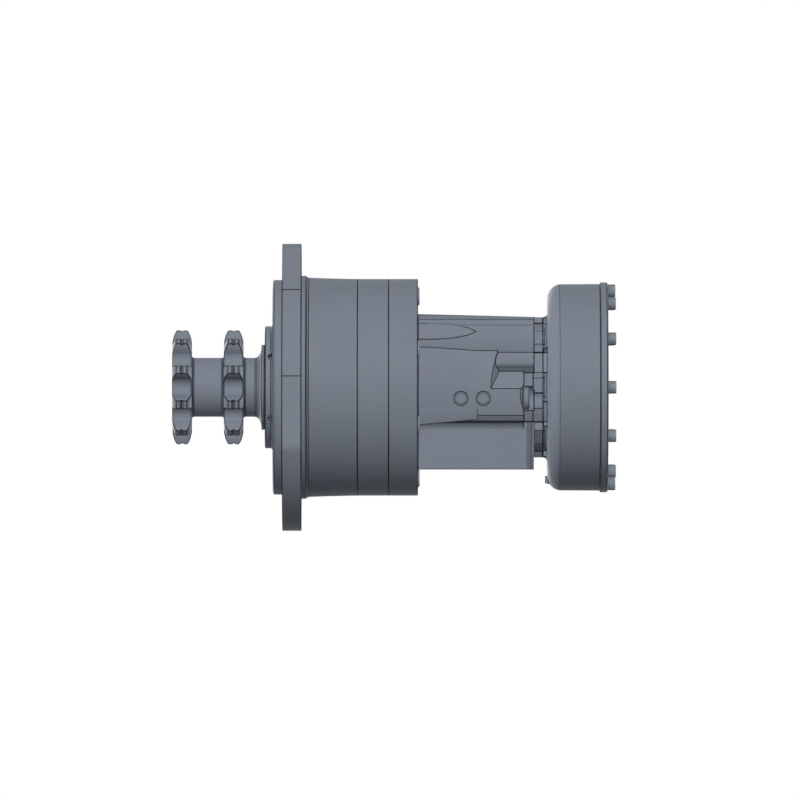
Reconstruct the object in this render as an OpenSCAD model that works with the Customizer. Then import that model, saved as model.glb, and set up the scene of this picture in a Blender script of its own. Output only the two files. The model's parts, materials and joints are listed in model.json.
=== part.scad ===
// Radial piston hydraulic drive motor with a double chain sprocket shaft and a spring-applied brake.
// Millimetres. The origin is on the shaft axis in the plane of the mounting face.
// +X runs from the mounting face to the brake, +Z is up, and the valve side faces -Y.

/* [Sprockets] */
// Pitch of the drive chains
chain_pitch = 31.75; // [25.4:0.05:32]
// Diameter of the chain's rollers
chain_roller_d = 19.05; // [15:0.05:20]
// Teeth on each sprocket
sprocket_teeth = 10; // [10:1:11]
// Width of a sprocket across its faces
sprocket_w = 19.7; // [16:0.1:21]
// Distance between the middles of the two sprockets
sprocket_spacing = 52.8; // [48:0.1:58]
// Distance from the mounting face to the middle of the inner sprocket
sprocket_reach = 50; // [46:0.5:56]
// Diameter of the hub between the sprockets
hub_d = 60.4; // [54:0.2:64]
// Radius of the fillets beside the sprockets
hub_fillet = 2.8; // [1:0.1:4]
// Depth of the groove round the tooth tips
tip_groove = 1.3; // [0.5:0.1:2]

/* [Mounting flange] */
// Diameter of the flange over its two ears
flange_d = 294.2; // [288:0.2:300]
// Diameter across the two reliefs of the flange
relief_d = 254.2; // [246:0.2:258]
// Thickness of the flange
flange_t = 19.5; // [16:0.5:24]
// Half of the angle that a relief's round part takes up
relief_half_angle = 23.3; // [18:0.1:28]
// Turn of the reliefs from the valve side
relief_turn = 28.5; // [15:0.5:35]
// Radius of the ears' corners
ear_corner = 18; // [10:0.5:22]
// Place of the bolt holes up an ear, as a share of the ear's height over the front housing
flange_hole_place = 0.5091; // [0.48:0.0001:0.53]
// Diameter of the flange's bolt holes
flange_hole_d = 17.5; // [13:0.1:20]
// Angle between neighbouring bolt holes of an ear
flange_hole_step = 28.5; // [24:0.5:30]
// Diameter of the pilot spigot
pilot_d = 220; // [200:0.5:222]
// Length of the pilot spigot
pilot_l = 9.7; // [7:0.1:12]

/* [Motor body] */
// Distance from the mounting face to the cam ring
front_l = 76.9; // [75:0.1:84]
// Width of the cam ring
cam_w = 31.8; // [31:0.1:40]
// Thickness of the rear housing's flange
rear_flange_t = 30.2; // [26:0.2:36]
// Diameter of the cam ring and of the rear housing's flange
body_d = 222; // [220:0.2:226]
// Diameter of the front housing just behind the flange
front_d = 228.6; // [226:0.2:236]
// Screws through the cam ring
body_screws = 8; // [6:2:8]
// Distance from the cam ring's edge to the middle of its screws
body_screw_inset = 10.2; // [10:0.1:11]
// Thread diameter of the screws through the cam ring
body_screw_d = 12; // [10:1:12]

/* [Pistons and cam] */
// Lobes of the cam ring
cam_lobes = 6; // [6:2:6]
// Thickness of the cam ring, from its edge to halfway up its lobes
cam_wall = 23; // [22.5:0.1:24]
// Height of the cam's lobes from valley to crest
cam_lift = 8; // [6:0.1:8]
// Pistons in the cylinder block
piston_count = 8; // [8:1:8]
// Diameter of a piston
piston_d = 30; // [28:0.5:31]
// Diameter of a piston's roller
roller_d = 20; // [18:0.5:20]
// Length of a piston's roller
roller_l = 22; // [18:0.5:22]
// Width of the cylinder block
block_w = 43.4; // [41:0.1:43.4]
// Clearance between the cylinder block and the cam's nearest points
block_clearance = 12; // [11.5:0.1:13]
// Distance from a roller's middle to the inner end of its piston
piston_skirt = 25; // [22:0.5:26]

/* [Bearings] */
// Bore of the two taper roller bearings
bearing_bore_d = 75; // [70:0.5:76]
// Outer diameter of the bearings
bearing_d = 115; // [113:0.5:117]
// Width of a bearing
bearing_w = 25; // [24:0.5:26]
// Width of a bearing's cup
cup_w = 19; // [18:0.5:20]
// Distance between the backs of the two cups
cup_spread = 18; // [16:0.5:19]
// Rollers in a bearing
bearing_rollers = 18; // [14:1:20]
// Slope of the bearing rollers to the shaft
bearing_slope = 13; // [11:0.5:15]

/* [Port casting] */
// Distance from the mounting face to the brake housing
casting_end = 266.5; // [262:0.5:272]
// Length of the ribbed neck before the brake housing
neck_l = 9.2; // [7:0.2:12]
// Diameter over the ribs of the neck
neck_d = 143.6; // [138:0.2:146]
// Diameter of the round body of the casting
core_d = 153.6; // [150:0.2:156]
// Height of the casting's top over the shaft axis
casting_top = 74.8; // [73:0.1:78]
// Depth of the port face below the shaft axis
port_face_drop = 84; // [82:0.5:90]
// Radius of the casting's broad front, about an axis behind the shaft
front_curve_r = 110; // [108:0.5:114]
// Radius of the rounded upper front of the casting
barrel_r = 45; // [40:0.5:48]
// Distance between the two main ports
port_spacing = 54; // [50:0.5:58]
// Diameter of a main port's thread
port_d = 33.2; // [26:0.1:36]
// Diameter of the case drain port's thread
drain_d = 21; // [16:0.1:24]
// Diameter of the pilot ports' thread
pilot_port_d = 13.2; // [10:0.1:14]
// Diameter of the speed spool
spool_d = 18; // [14:0.5:19]
// Travel of the speed spool
spool_travel = 8; // [5:0.5:9]

/* [Brake] */
// Diameter of the brake housing
brake_d = 211.8; // [208:0.2:216]
// Distance from the mounting face to the brake cover
cover_x = 325; // [323:0.2:332]
// Radius of the brake housing's front corner
brake_corner = 15; // [8:0.5:18]
// Diameter of the brake cover
cover_d = 215.2; // [210:0.2:220]
// Thickness of the brake cover
cover_t = 8.1; // [6:0.1:12]
// Cover screws
cover_screws_n = 12; // [8:1:14]
// Diameter of the circle of the cover screws
cover_screw_pcd = 198; // [196:0.5:200]
// Thread diameter of the cover screws
cover_screw_d = 8; // [6:1:8]
// Friction discs in the brake
friction_n = 4; // [2:1:4]
// Thickness of a friction disc
friction_t = 2.4; // [1.8:0.1:2.4]
// Thickness of a steel plate
steel_t = 2.2; // [1.6:0.1:2.2]
// Travel of the brake piston when it lets go
brake_travel = 2; // [1:0.1:2.5]

/* [Hidden] */
// Clearances between pieces, radial or axial
run_gap = 0.03;
face_gap = 0.1;
loose = 0.3;
past = 1;

steel = "#8f959c";
bright = "#a9afb6";
paint = "#7c838f";
rubber = "#2b2d30";
bronze = "#a8864c";

// Places along the shaft
pilot_x = -pilot_l;
carrier_t = 8.2;
carrier_x = pilot_x - carrier_t;
cam_x = front_l;
rear_x = cam_x + cam_w;
rear_face_x = rear_x + rear_flange_t;
cam_mid_x = cam_x + cam_w / 2;
inner_sprocket_x = -sprocket_reach;
outer_sprocket_x = inner_sprocket_x - sprocket_spacing;
shaft_tip_x = outer_sprocket_x - sprocket_w / 2;
slinger_x = carrier_x - 0.5;
slinger_t = 3;
carrier_inner_x = -2.8;
seal_half_w = 0.9;
seal_groove = 1.6;
head_sink = 10.4;
body_thread_l = 26;
body_screw_r = body_d / 2 - body_screw_inset;
seal_ring_r = body_screw_r - 7.4;
ear_h = (flange_d - front_d) / 2;
flange_hole_r = front_d / 2 + ear_h * flange_hole_place;
relief_step = 0.3;

// Bearings: the small ends of the rollers point at each other
front_cup_back_x = 20;
rear_cup_back_x = front_cup_back_x + cup_spread;
cone_w = bearing_w;
front_cone_x = front_cup_back_x - cone_w;
rear_cone_end_x = rear_cup_back_x + cone_w;
seat_r = bearing_bore_d / 2;
cup_r = bearing_d / 2;
roller_mid_r = (seat_r + cup_r) / 2 - 0.1;
bearing_roller_r = 4.6;
bearing_roller_l = 16.8;
apex_d = roller_mid_r / sin(bearing_slope);
roller_slope = asin(bearing_roller_r / apex_d);
roller_mid_back = 11.5;
race_back = apex_d * cos(bearing_slope) - roller_mid_back;

// Shaft
hub_r = hub_d / 2;
pitch_r = chain_pitch / 2 / sin(180 / sprocket_teeth);
tip_r = chain_pitch * (0.6 + 1 / tan(180 / sprocket_teeth)) / 2;
seat_arc_r = chain_roller_d / 2 + 0.1;
seal_land_r = seat_r + 5;
seal_bore_r = seal_land_r + 10;
slinger_r = seal_land_r + 1.1;
carrier_thread_r = cup_r + 2.5;
nut_w = 7;
nut_r = seat_r + 8.5;
spline_teeth = 16;
shaft_end_x = cam_mid_x + block_w / 2 - 2;
socket_l = 22;
brake_spline_r = 17;
brake_spline_root_r = 15;
brake_spline_teeth = 12;

// Cylinder block and pistons
cam_mean_r = body_d / 2 - cam_wall;
cam_low_r = cam_mean_r - cam_lift / 2;
block_r = cam_low_r - block_clearance;
block_x = cam_mid_x - block_w / 2;
block_end_x = block_x + block_w;
piston_r = piston_d / 2;
roller_r = roller_d / 2;
parked_r = cam_low_r - roller_r - 0.6;
bore_floor_r = parked_r - piston_skirt - 4.4;
block_port_r = block_r - 22;
block_port_d = 9;
cavity_r = block_r + 4;
spline_r = bore_floor_r - 10;
spline_root_r = spline_r - 3;
piston_turn = 7.5;

// Port casting
core_r = core_d / 2;
neck_core_r = neck_d / 2 - 5.3;
inner_core_r = neck_core_r - 0.5;
step_x = 214.5;
block_left_x = 144;
block_right_x = casting_end - neck_l;
barrel_y = barrel_r - 70;
barrel_z = 44;
upper_round_r = 20;
upper_back_y = 48;
top_draft = 1.49;
front_curve_y = front_curve_r - 78;
front_curve_z = -5;
lower_front_y = -69;
lower_back_y = 40;
boss_z = -11.3;
boss_underside_z = -35.5;
boss_end_x = 247;
spool_y = -63;
spool_r = spool_d / 2;
spool_x = 190;
spool_l = 35;
spool_bore_x = spool_x - spool_travel - 4;
spool_plug_r = 11.3;
distributor_x = block_end_x + face_gap;
distributor_r = [block_r - 12, block_r - 16, block_r - 20];
distributor_steps = [distributor_x, rear_x + 23.3, rear_x + 42.3, rear_x + 63.3];
distributor_bore_r = 26;
neck_ribs = 8;
rib_w = 30;
ports_mid_x = (block_left_x + block_right_x) / 2;
main_port_x = [ports_mid_x - port_spacing / 2, ports_mid_x + port_spacing / 2];
main_port_y = -30;
port_depth = 20;
gallery_r = 8;
gallery_z = -54.6;
drain_x = 168;
pilot_port_x = 236;
witness_plug_x = [182.5, 205.5];
witness_plug_r = 7;

// Brake
brake_r = brake_d / 2;
brake_front_x = casting_end + 4.8;
wall_x = casting_end + 15.5;
plate_pitch = friction_t + steel_t + 2 * face_gap;
steel_n = friction_n + 1;
pack_x = wall_x + face_gap;
pack_end_x = pack_x + friction_n * plate_pitch + steel_t;
brake_bore_r = brake_r - 13.3;
plate_r = brake_bore_r - 6.6;
plate_lug_r = plate_r + 4.5;
plate_lugs = 6;
plate_lug_w = 16;
plate_bore_r = 50;
disc_r = plate_r - 4;
hub_spline_r = 48;
hub_spline_root_r = 44;
hub_spline_teeth = 12;
brake_bore_x = pack_end_x + 0.4;
nose_x = pack_end_x + face_gap;
piston_flange_x = brake_bore_x + 4.6;
piston_end_x = cover_x - brake_travel - 4.9;
disc_spring_t = 2.4;
spring_in_r = brake_bore_r - 28.6;
spring_out_r = brake_bore_r - 5.6;
brake_port_turn = 15;
brake_shaft_r = 20;
brake_shaft_end_x = pack_end_x + 3;
brake_spline_end_x = shaft_end_x + 2;
neck_screw_r = neck_core_r - 6.5;
neck_screw_d = 8;
neck_screw_sink = neck_screw_d + 0.2;
neck_screw_tip_x = casting_end - neck_l + 0.9;

// Points of an arc, for profiles
function arc(cx, cy, r, from, to, steps = 5) =
    [for (i = [0:steps]) let (a = from + (to - from) * i / steps) [cx + r * cos(a), cy + r * sin(a)]];

// A profile of [radius, distance along the shaft] turned about the shaft axis
module lathe(points) {
    rotate([0, 90, 0]) rotate_extrude($fn = 120) polygon(points);
}

// A round bar or bore about the shaft axis
module rod(from, to, r) {
    translate([from, 0, 0]) rotate([0, 90, 0]) cylinder(h = to - from, r = r, $fn = 96);
}

// A round tube about the shaft axis
module tube(from, to, r_out, r_in) {
    difference() {
        rod(from, to, r_out);
        rod(from - past, to + past, r_in);
    }
}

// A shape drawn in Y and Z, carried along X
module along_x(from, to) {
    translate([from, 0, 0]) rotate([90, 0, 90]) linear_extrude(height = to - from) children();
}

// Copies turned about the shaft axis, the first one on the valve side
module around(n, turn = 0) {
    for (i = [0:n - 1]) rotate([turn + i * 360 / n, 0, 0]) children();
}

// A bar along X at a radius on the valve side
module pin(from, to, at_r, r) {
    translate([from, -at_r, 0]) rotate([0, 90, 0]) cylinder(h = to - from, r = r, $fn = 32);
}

// Radius of a socket head screw's head
function screw_head_r(d) = 0.625 * d + 1.5;

// Socket head screw along X: the head starts at head_x and the shank runs away from it
module screw(head_x, shank_l, d, way = 1) {
    head_h = d;
    head_r = screw_head_r(d);
    difference() {
        union() {
            translate([head_x, 0, 0]) rotate([0, -90 * way, 0]) cylinder(h = head_h, r = head_r, $fn = 48);
            translate([head_x, 0, 0]) rotate([0, 90 * way, 0]) cylinder(h = shank_l, r = d / 2, $fn = 32);
        }
        translate([head_x - way * head_h * 0.45, 0, 0]) rotate([0, -90 * way, 0])
            cylinder(h = head_h, r = d * 0.45, $fn = 6);
    }
}

// Outline of a splined bar
module spline_outline(n, root_r, r, grow = 0) {
    tooth_w = 2 * PI * root_r / n / 2 + 2 * grow;
    intersection() {
        circle(r = r + grow, $fn = 96);
        union() {
            circle(r = root_r + grow, $fn = 96);
            for (i = [0:n - 1]) rotate(i * 360 / n) translate([0, -tooth_w / 2]) square([r + 5, tooth_w]);
        }
    }
}

// Coil of a compression spring along X
module coil(from, length, coil_r, wire_r, turns) {
    per_turn = 16;
    sides = 6;
    rings = turns * per_turn;
    rise = length - 2 * wire_r;
    points = [for (i = [0:rings]) for (j = [0:sides - 1])
        let (a = 360 * i / per_turn, b = 360 * j / sides, r = coil_r + wire_r * cos(b))
        [from + wire_r + rise * i / rings + wire_r * sin(b), r * cos(a), r * sin(a)]];
    walls = [for (i = [0:rings - 1]) for (j = [0:sides - 1])
        let (k = (j + 1) % sides)
        [i * sides + j, i * sides + k, (i + 1) * sides + k, (i + 1) * sides + j]];
    ends = [[for (j = [sides - 1:-1:0]) j], [for (j = [0:sides - 1]) rings * sides + j]];
    polyhedron(points, concat(walls, ends));
}

// The cut at one end of a relief, drawn along the flat's normal: the flat and the ear's round corner
module ear_cut(side) {
    steps = 6;
    corner_r = flange_d / 2 - ear_corner;
    turn = acos((relief_d / 2 - ear_corner) / corner_r);
    middle = corner_r * [cos(turn), side * sin(turn)];
    far = flange_d;
    translate([relief_d / 2, side > 0 ? -past : past - far]) square(far);
    polygon(concat([middle + [far, 0], middle + far * [cos(turn), side * sin(turn)]],
        [for (i = [steps:-1:0]) let (a = turn * i / steps) middle + ear_corner * [cos(a), side * sin(a)]]));
}

// Outline of the mounting flange: two ears between two reliefs
module flange_outline() {
    far = flange_d;
    first = 180 - relief_turn + relief_half_angle;
    last = 180 - relief_turn - relief_half_angle;
    difference() {
        circle(r = flange_d / 2, $fn = 180);
        for (half = [0, 180]) rotate(half) {
            rotate(first) ear_cut(1);
            rotate(last) ear_cut(-1);
            difference() {
                polygon([[0, 0], far * [cos(first), sin(first)], far * [cos(last), sin(last)]]);
                circle(r = relief_d / 2 - relief_step, $fn = 180);
            }
        }
    }
}

// Housing of the two bearings, with the pilot spigot and the mounting flange
module front_housing() {
    pilot_r = pilot_d / 2;
    front_r = front_d / 2;
    body_r = body_d / 2;
    color(paint) difference() {
        union() {
            lathe([[0, pilot_x], [pilot_r - 1.5, pilot_x], [pilot_r, pilot_x + 1.5], [pilot_r, flange_t],
                [front_r, flange_t], [front_r, flange_t + 4.5], [front_r - 1, flange_t + 5.5],
                [front_r - 1.9, flange_t + 7.5],
                [body_r + 0.7, flange_t + 27], [body_r, front_l], [0, front_l]]);
            along_x(0, flange_t) flange_outline();
        }
        rod(pilot_x - past, carrier_inner_x + loose, carrier_thread_r + run_gap);
        rod(carrier_inner_x, front_cup_back_x, cup_r + run_gap);
        rod(front_cup_back_x - past, rear_cup_back_x + past, cup_r - 6.5);
        rod(rear_cup_back_x, front_l + past, cup_r + run_gap);
        rod(block_x - 5, front_l + past, cavity_r);
        for (ear = [0, 180]) for (k = [-1:1])
            rotate([-(relief_turn + 90 + ear + k * flange_hole_step), 0, 0])
                pin(-past, flange_t + past, flange_hole_r, flange_hole_d / 2);
        around(body_screws, 180 / body_screws)
            pin(cam_x - body_thread_l, cam_x + past, body_screw_r, body_screw_d / 2 + run_gap);
    }
}

// Threaded ring that holds the shaft seal, with radial holes for a pin spanner
module seal_carrier() {
    rim_r = carrier_thread_r + 2.5;
    color(steel) difference() {
        lathe([[seal_land_r + 0.8, carrier_x], [rim_r - 0.8, carrier_x], [rim_r, carrier_x + 0.8],
            [rim_r, pilot_x - 2], [rim_r + 1.3, pilot_x - 0.7], [rim_r + 1.3, pilot_x],
            [carrier_thread_r, pilot_x], [carrier_thread_r, carrier_inner_x],
            [seal_bore_r + run_gap, carrier_inner_x], [seal_bore_r + run_gap, carrier_x + 2],
            [seal_land_r + 0.8, carrier_x + 2]]);
        around(6, 30) translate([carrier_x + 6, -rim_r - past, 0]) rotate([-90, 0, 0])
            cylinder(h = 5, r = 2.4, $fn = 24);
    }
}

// Lip seal on the shaft
module shaft_seal() {
    back = carrier_x + 2.2;
    color(rubber) lathe([[seal_bore_r, back], [seal_bore_r, back + 10], [seal_bore_r - 2, back + 10],
        [seal_bore_r - 2, back + 2], [seal_land_r + 4, back + 2], [seal_land_r + 3, back + 8],
        [seal_land_r + 1.5, back + 8], [seal_land_r + run_gap, back + 6], [seal_land_r + 1.5, back + 4],
        [seal_land_r + 1.5, back]]);
}

// Outer ring of a taper bearing: its thick end lies at back_x and it opens towards way
module bearing_cup(back_x, way) {
    race = function(s) (race_back + s) * tan(bearing_slope + roller_slope) + run_gap;
    color(steel) lathe([[race(0), back_x], [cup_r, back_x], [cup_r, back_x + way * (cup_w - 1)],
        [cup_r - 1, back_x + way * cup_w], [race(cup_w), back_x + way * cup_w]]);
}

// Inner ring of a taper bearing, with the ribs at both ends of its track
module bearing_cone(back_x, way) {
    race = function(s) (race_back + s) * tan(bearing_slope - roller_slope) - run_gap;
    color(steel) lathe([[seat_r, back_x], [race(0) + 1.5, back_x], [race(0) + 1.5, back_x + way * 2.6],
        [race(2.6), back_x + way * 2.6], [race(21), back_x + way * 21], [race(21) + 3, back_x + way * 21],
        [race(21) + 3, back_x + way * (cone_w - 1)], [race(21) + 2, back_x + way * cone_w],
        [seat_r, back_x + way * cone_w]]);
}

// Tapered rollers of a bearing, or with a clearance the pockets for them
module taper_rollers(back_x, way, gap = 0) {
    near = apex_d - bearing_roller_l / 2 - gap;
    length = bearing_roller_l + 2 * gap;
    around(bearing_rollers)
        translate([back_x - way * race_back, 0, 0])
            rotate([0, 0, way > 0 ? -bearing_slope : 180 + bearing_slope]) rotate([0, 90, 0])
                translate([0, 0, near])
                    cylinder(h = length, r1 = near * tan(roller_slope) + gap,
                        r2 = (near + length) * tan(roller_slope) + gap, $fn = 40);
}

// Cage of a taper bearing
module bearing_cage(back_x, way) {
    middle = function(s) (race_back + s) * tan(bearing_slope);
    near = 1;
    end = 22.4;
    color(bronze) difference() {
        lathe([[middle(near) - 1, back_x + way * near], [middle(near) + 1, back_x + way * near],
            [middle(end) + 1, back_x + way * end], [middle(end) - 1, back_x + way * end]]);
        taper_rollers(back_x, way, 0.25);
    }
}

module front_bearing_cup() { bearing_cup(front_cup_back_x, -1); }
module rear_bearing_cup() { bearing_cup(rear_cup_back_x, 1); }
module front_bearing_cone() { bearing_cone(front_cup_back_x, -1); }
module rear_bearing_cone() { bearing_cone(rear_cup_back_x, 1); }
module front_bearing_cage() { bearing_cage(front_cup_back_x, -1); }
module rear_bearing_cage() { bearing_cage(rear_cup_back_x, 1); }
module front_bearing_rollers() { color(steel) taper_rollers(front_cup_back_x, -1); }
module rear_bearing_rollers() { color(steel) taper_rollers(rear_cup_back_x, 1); }

// Ring with the wavy track that the pistons' rollers run on
module cam_ring() {
    steps = 24 * cam_lobes;
    color(paint) difference() {
        along_x(cam_x, rear_x) difference() {
            circle(r = body_d / 2, $fn = 180);
            polygon([for (i = [0:steps - 1]) let (a = 360 * i / steps)
                (cam_mean_r + cam_lift / 2 * cos(cam_lobes * a)) * [cos(a), sin(a)]]);
        }
        around(body_screws, 180 / body_screws)
            pin(cam_x - past, rear_x + past, body_screw_r, body_screw_d / 2 + loose);
        for (x = [cam_x, rear_x])
            tube(x - seal_groove, x + seal_groove, seal_ring_r + seal_half_w, seal_ring_r - seal_half_w);
    }
}

// Sealing rings at both faces of the cam ring
module cam_ring_seals() {
    half_w = seal_half_w - 0.05;
    depth = seal_groove - 0.02;
    color(rubber) {
        tube(cam_x, cam_x + depth, seal_ring_r + half_w, seal_ring_r - half_w);
        tube(rear_x - depth, rear_x, seal_ring_r + half_w, seal_ring_r - half_w);
    }
}

// Screws that clamp the rear housing and the cam ring to the front housing
module body_screws() {
    seat_x = rear_face_x - head_sink;
    color(steel) around(body_screws, 180 / body_screws) translate([0, -body_screw_r, 0])
        screw(seat_x, seat_x - cam_x + body_thread_l - 4, body_screw_d, -1);
}

// Section of the casting's upper body: a big barrel-shaped front, a shoulder of three facets and a flat top
module upper_section() {
    shoulder_z = casting_top - upper_round_r;
    shoulder = 180 - asin((shoulder_z - barrel_z) / (barrel_r - upper_round_r));
    shoulder_y = barrel_y + (barrel_r - upper_round_r) * cos(shoulder);
    polygon(concat(arc(barrel_y, barrel_z, barrel_r, 220, shoulder, 22),
        arc(shoulder_y, shoulder_z, upper_round_r, shoulder, 90, 3),
        arc(upper_back_y - upper_round_r, shoulder_z, upper_round_r, 90, 0, 16),
        [[upper_back_y, 0], [barrel_y, 0]]));
}

// Space above the drafted top of the casting
module above_top() {
    far = 2 * casting_end;
    drop = tan(top_draft);
    rotate([90, 0, 0]) translate([0, 0, -far]) linear_extrude(height = 2 * far)
        polygon([[rear_face_x, casting_top + (block_left_x - rear_face_x) * drop], [rear_face_x, far],
            [far, far], [far, casting_top - (far - block_left_x) * drop]]);
}

// Upper body of the casting, with the flat that thins out along the barrel
module upper_body() {
    flat_end_x = 199;
    flat_slope = 0.59;
    flat_turn = 17;
    difference() {
        along_x(rear_face_x - past, block_right_x) upper_section();
        translate([flat_end_x, barrel_y, barrel_z]) rotate([-flat_turn, 0, 0]) translate([0, -barrel_r, 0])
            rotate([0, 0, -flat_slope]) translate([-80, -40, -20]) cube([80, 40, 40]);
    }
}

// Broad front of the casting, a long curve that ends in the boss of the speed spool
module broad_front() {
    cone_end_x = 199.8;
    cone_l = cone_end_x - rear_face_x;
    cone_rise = 2.2;
    under_r = 5;
    under_y = -68;
    under_turn = 215;
    slope = [cos(under_turn - 90), sin(under_turn - 90)];
    end_r = 3.5;
    rim = [under_y + under_r * cos(under_turn), boss_underside_z + under_r + under_r * sin(under_turn)];
    intersection() {
        translate([rear_face_x, front_curve_y, front_curve_z]) rotate([0, 90, 0]) union() {
            cylinder(h = cone_l, r1 = front_curve_r + cone_rise, r2 = front_curve_r, $fn = 180);
            translate([0, 0, cone_l]) cylinder(h = boss_end_x - cone_end_x, r = front_curve_r, $fn = 180);
        }
        along_x(rear_face_x, boss_end_x) polygon(concat([[-30, boss_underside_z]],
            arc(under_y, boss_underside_z + under_r, under_r, 270, under_turn, 6),
            [rim + 40 * slope, [rim[0] + 40 * slope[0], 41], [-30, 41]]));
        translate([0, 0, -150]) linear_extrude(height = 300) polygon(concat(
            [[rear_face_x - past, 0], [boss_end_x, 0]],
            arc(boss_end_x - end_r, -77.6 + end_r, end_r, 0, -75, 5),
            [[rear_face_x - past, -120]]));
    }
}

// Notch in the broad front, above the two slopes of the spool's boss
module front_notch() {
    wall_y = -77.9;
    wall_x = 213.2;
    wall_run = 0.859;
    out = 12;
    deep = 18;
    end_x = boss_end_x + past;
    intersection() {
        along_x(wall_x - out, end_x + past) polygon([[wall_y - out, -22], [-71.4, 10], [-67.6, 16.7],
            [wall_y + deep, 16.7], [wall_y + deep, 60], [wall_y - out, 60]]);
        translate([0, 0, -150]) linear_extrude(height = 300) polygon([[wall_x - out * wall_run, wall_y - out],
            [wall_x + deep * wall_run, wall_y + deep], [end_x, wall_y + deep], [end_x, wall_y - out]]);
    }
}

// Bulge that fills the notch under the upper body
module notch_bulge() {
    bulge_r = 22;
    turn_r = 5.5;
    bulge_y = -72.5;
    bulge_z = 24;
    along_x(210, block_right_x) polygon(concat(arc(bulge_y + bulge_r, bulge_z, bulge_r, 140, 180, 12),
        arc(bulge_y + turn_r, bulge_z, turn_r, 185, 230, 6), [[-66.6, 15], [-40, 15], [-40, 38]]));
}

// Lower block of the casting that carries the main ports, with the hollow curve under the broad front
module lower_block() {
    hollow_r = 8;
    hollow_z = -42.7;
    corner_r = 8.5;
    back_r = 14;
    intersection() {
        along_x(rear_face_x - past, block_right_x) polygon(concat([[lower_front_y, -port_face_drop]],
            arc(lower_front_y - hollow_r, hollow_z, hollow_r, 0, 60, 8),
            [[lower_front_y + 1, boss_underside_z + 0.3], [lower_back_y, boss_underside_z + 0.3]],
            arc(lower_back_y - back_r, -port_face_drop + back_r, back_r, 0, -90, 10)));
        translate([0, 0, -150]) linear_extrude(height = 200) polygon(concat(
            [[rear_face_x - past, lower_front_y - hollow_r], [rear_face_x - past, 100], [block_right_x, 100]],
            arc(block_right_x - corner_r, lower_front_y + corner_r, corner_r, 0, -90, 8),
            [[boss_end_x - 0.4, lower_front_y], [boss_end_x - 0.4, lower_front_y - hollow_r]]));
    }
}

// Outline of the neck with its ribs
module neck_outline() {
    circle(r = neck_core_r, $fn = 120);
    for (i = [0:neck_ribs - 1]) rotate(i * 360 / neck_ribs)
        polygon([[0, -rib_w / 2], [neck_d / 2 - 6, -rib_w / 2], [neck_d / 2, -rib_w / 2 + 5.6],
            [neck_d / 2, rib_w / 2 - 5.6], [neck_d / 2 - 6, rib_w / 2], [0, rib_w / 2]]);
}

// A threaded port: the bore with a flat seat at its mouth, drawn down from the origin
module port(d, depth, seat_d) {
    translate([0, 0, -depth]) cylinder(h = depth + past, r = d / 2, $fn = 64);
    translate([0, 0, -0.8]) cylinder(h = 3, r = seat_d / 2, $fn = 64);
}

// Rear housing: the flange of the motor, the port casting and the ribbed neck in one casting
module rear_housing() {
    body_r = body_d / 2;
    color(paint) difference() {
        union() {
            difference() {
                union() {
                    lathe(concat([[0, rear_x], [body_r, rear_x], [body_r, rear_face_x - 0.8]],
                        [[body_r - 0.8, rear_face_x]],
                        arc(core_r + 4, rear_face_x + 4, 4, 270, 180, 4), [[core_r, step_x - 3]],
                        arc(core_r - 3, step_x - 3, 3, 0, 90, 4),
                        [[inner_core_r, step_x], [inner_core_r, block_right_x], [0, block_right_x]]));
                    broad_front();
                }
                front_notch();
            }
            notch_bulge();
            upper_body();
            lower_block();
            along_x(block_right_x - past, casting_end) neck_outline();
        }
        above_top();
        rod(rear_x - past, distributor_x + 0.4, cavity_r);
        for (i = [0:2]) rod(distributor_x, distributor_steps[i + 1], distributor_r[i] + run_gap);
        rod(distributor_x, casting_end + past, brake_shaft_r + 2);
        rod(casting_end - 12, casting_end + past, brake_shaft_r + 8);
        around(body_screws, 180 / body_screws) {
            pin(rear_x - past, rear_face_x, body_screw_r, body_screw_d / 2 + loose);
            pin(rear_face_x - head_sink, rear_face_x + 40, body_screw_r, screw_head_r(body_screw_d) + 0.4);
        }
        around(neck_ribs)
            pin(neck_screw_tip_x - 0.4, casting_end + past, neck_screw_r, neck_screw_d / 2 + run_gap);
        // Main ports with their galleries to the distributor
        for (x = main_port_x) translate([x, main_port_y, -port_face_drop]) rotate([180, 0, 0])
            port(port_d, port_depth, port_d + 10);
        for (x = main_port_x) translate([x, main_port_y, gallery_z]) rotate([180, 0, 0])
            cylinder(h = port_face_drop + gallery_z, r = gallery_r, $fn = 48);
        translate([160, main_port_y, gallery_z]) rotate([0, 90, 0])
            cylinder(h = main_port_x[1] - 160, r = gallery_r, $fn = 48);
        // Case drain and pilot ports in the top
        translate([drain_x, -6, casting_top - 0.4]) port(drain_d, 16, drain_d + 8);
        translate([drain_x, -6, 0]) cylinder(h = casting_top - 10, r = 6, $fn = 32);
        translate([pilot_port_x, -30, casting_top - 2.4]) port(pilot_port_d, 12, pilot_port_d + 8);
        // Bore of the speed spool, with cross drillings closed by plugs
        translate([spool_bore_x, spool_y, boss_z]) rotate([0, 90, 0])
            cylinder(h = boss_end_x - spool_bore_x + past, r = spool_r + run_gap, $fn = 64);
        translate([spool_x + spool_l + 1, spool_y, boss_z]) rotate([0, 90, 0])
            cylinder(h = 60, r = spool_r + 1, $fn = 64);
        translate([boss_end_x, spool_y, boss_z]) rotate([0, 90, 0])
            cylinder(h = block_right_x - boss_end_x, r = spool_plug_r + 1, $fn = 64);
        for (x = witness_plug_x) translate([x, spool_y, boss_z]) rotate([90, 0, 0]) {
            cylinder(h = 30, r = 3, $fn = 32);
            translate([0, 0, spool_r + 2.4]) cylinder(h = 30, r = witness_plug_r + run_gap, $fn = 48);
        }
        translate([150, spool_y + 4, boss_z]) rotate([0, 90, 0]) cylinder(h = 34, r = 3, $fn = 32);
    }
}

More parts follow.
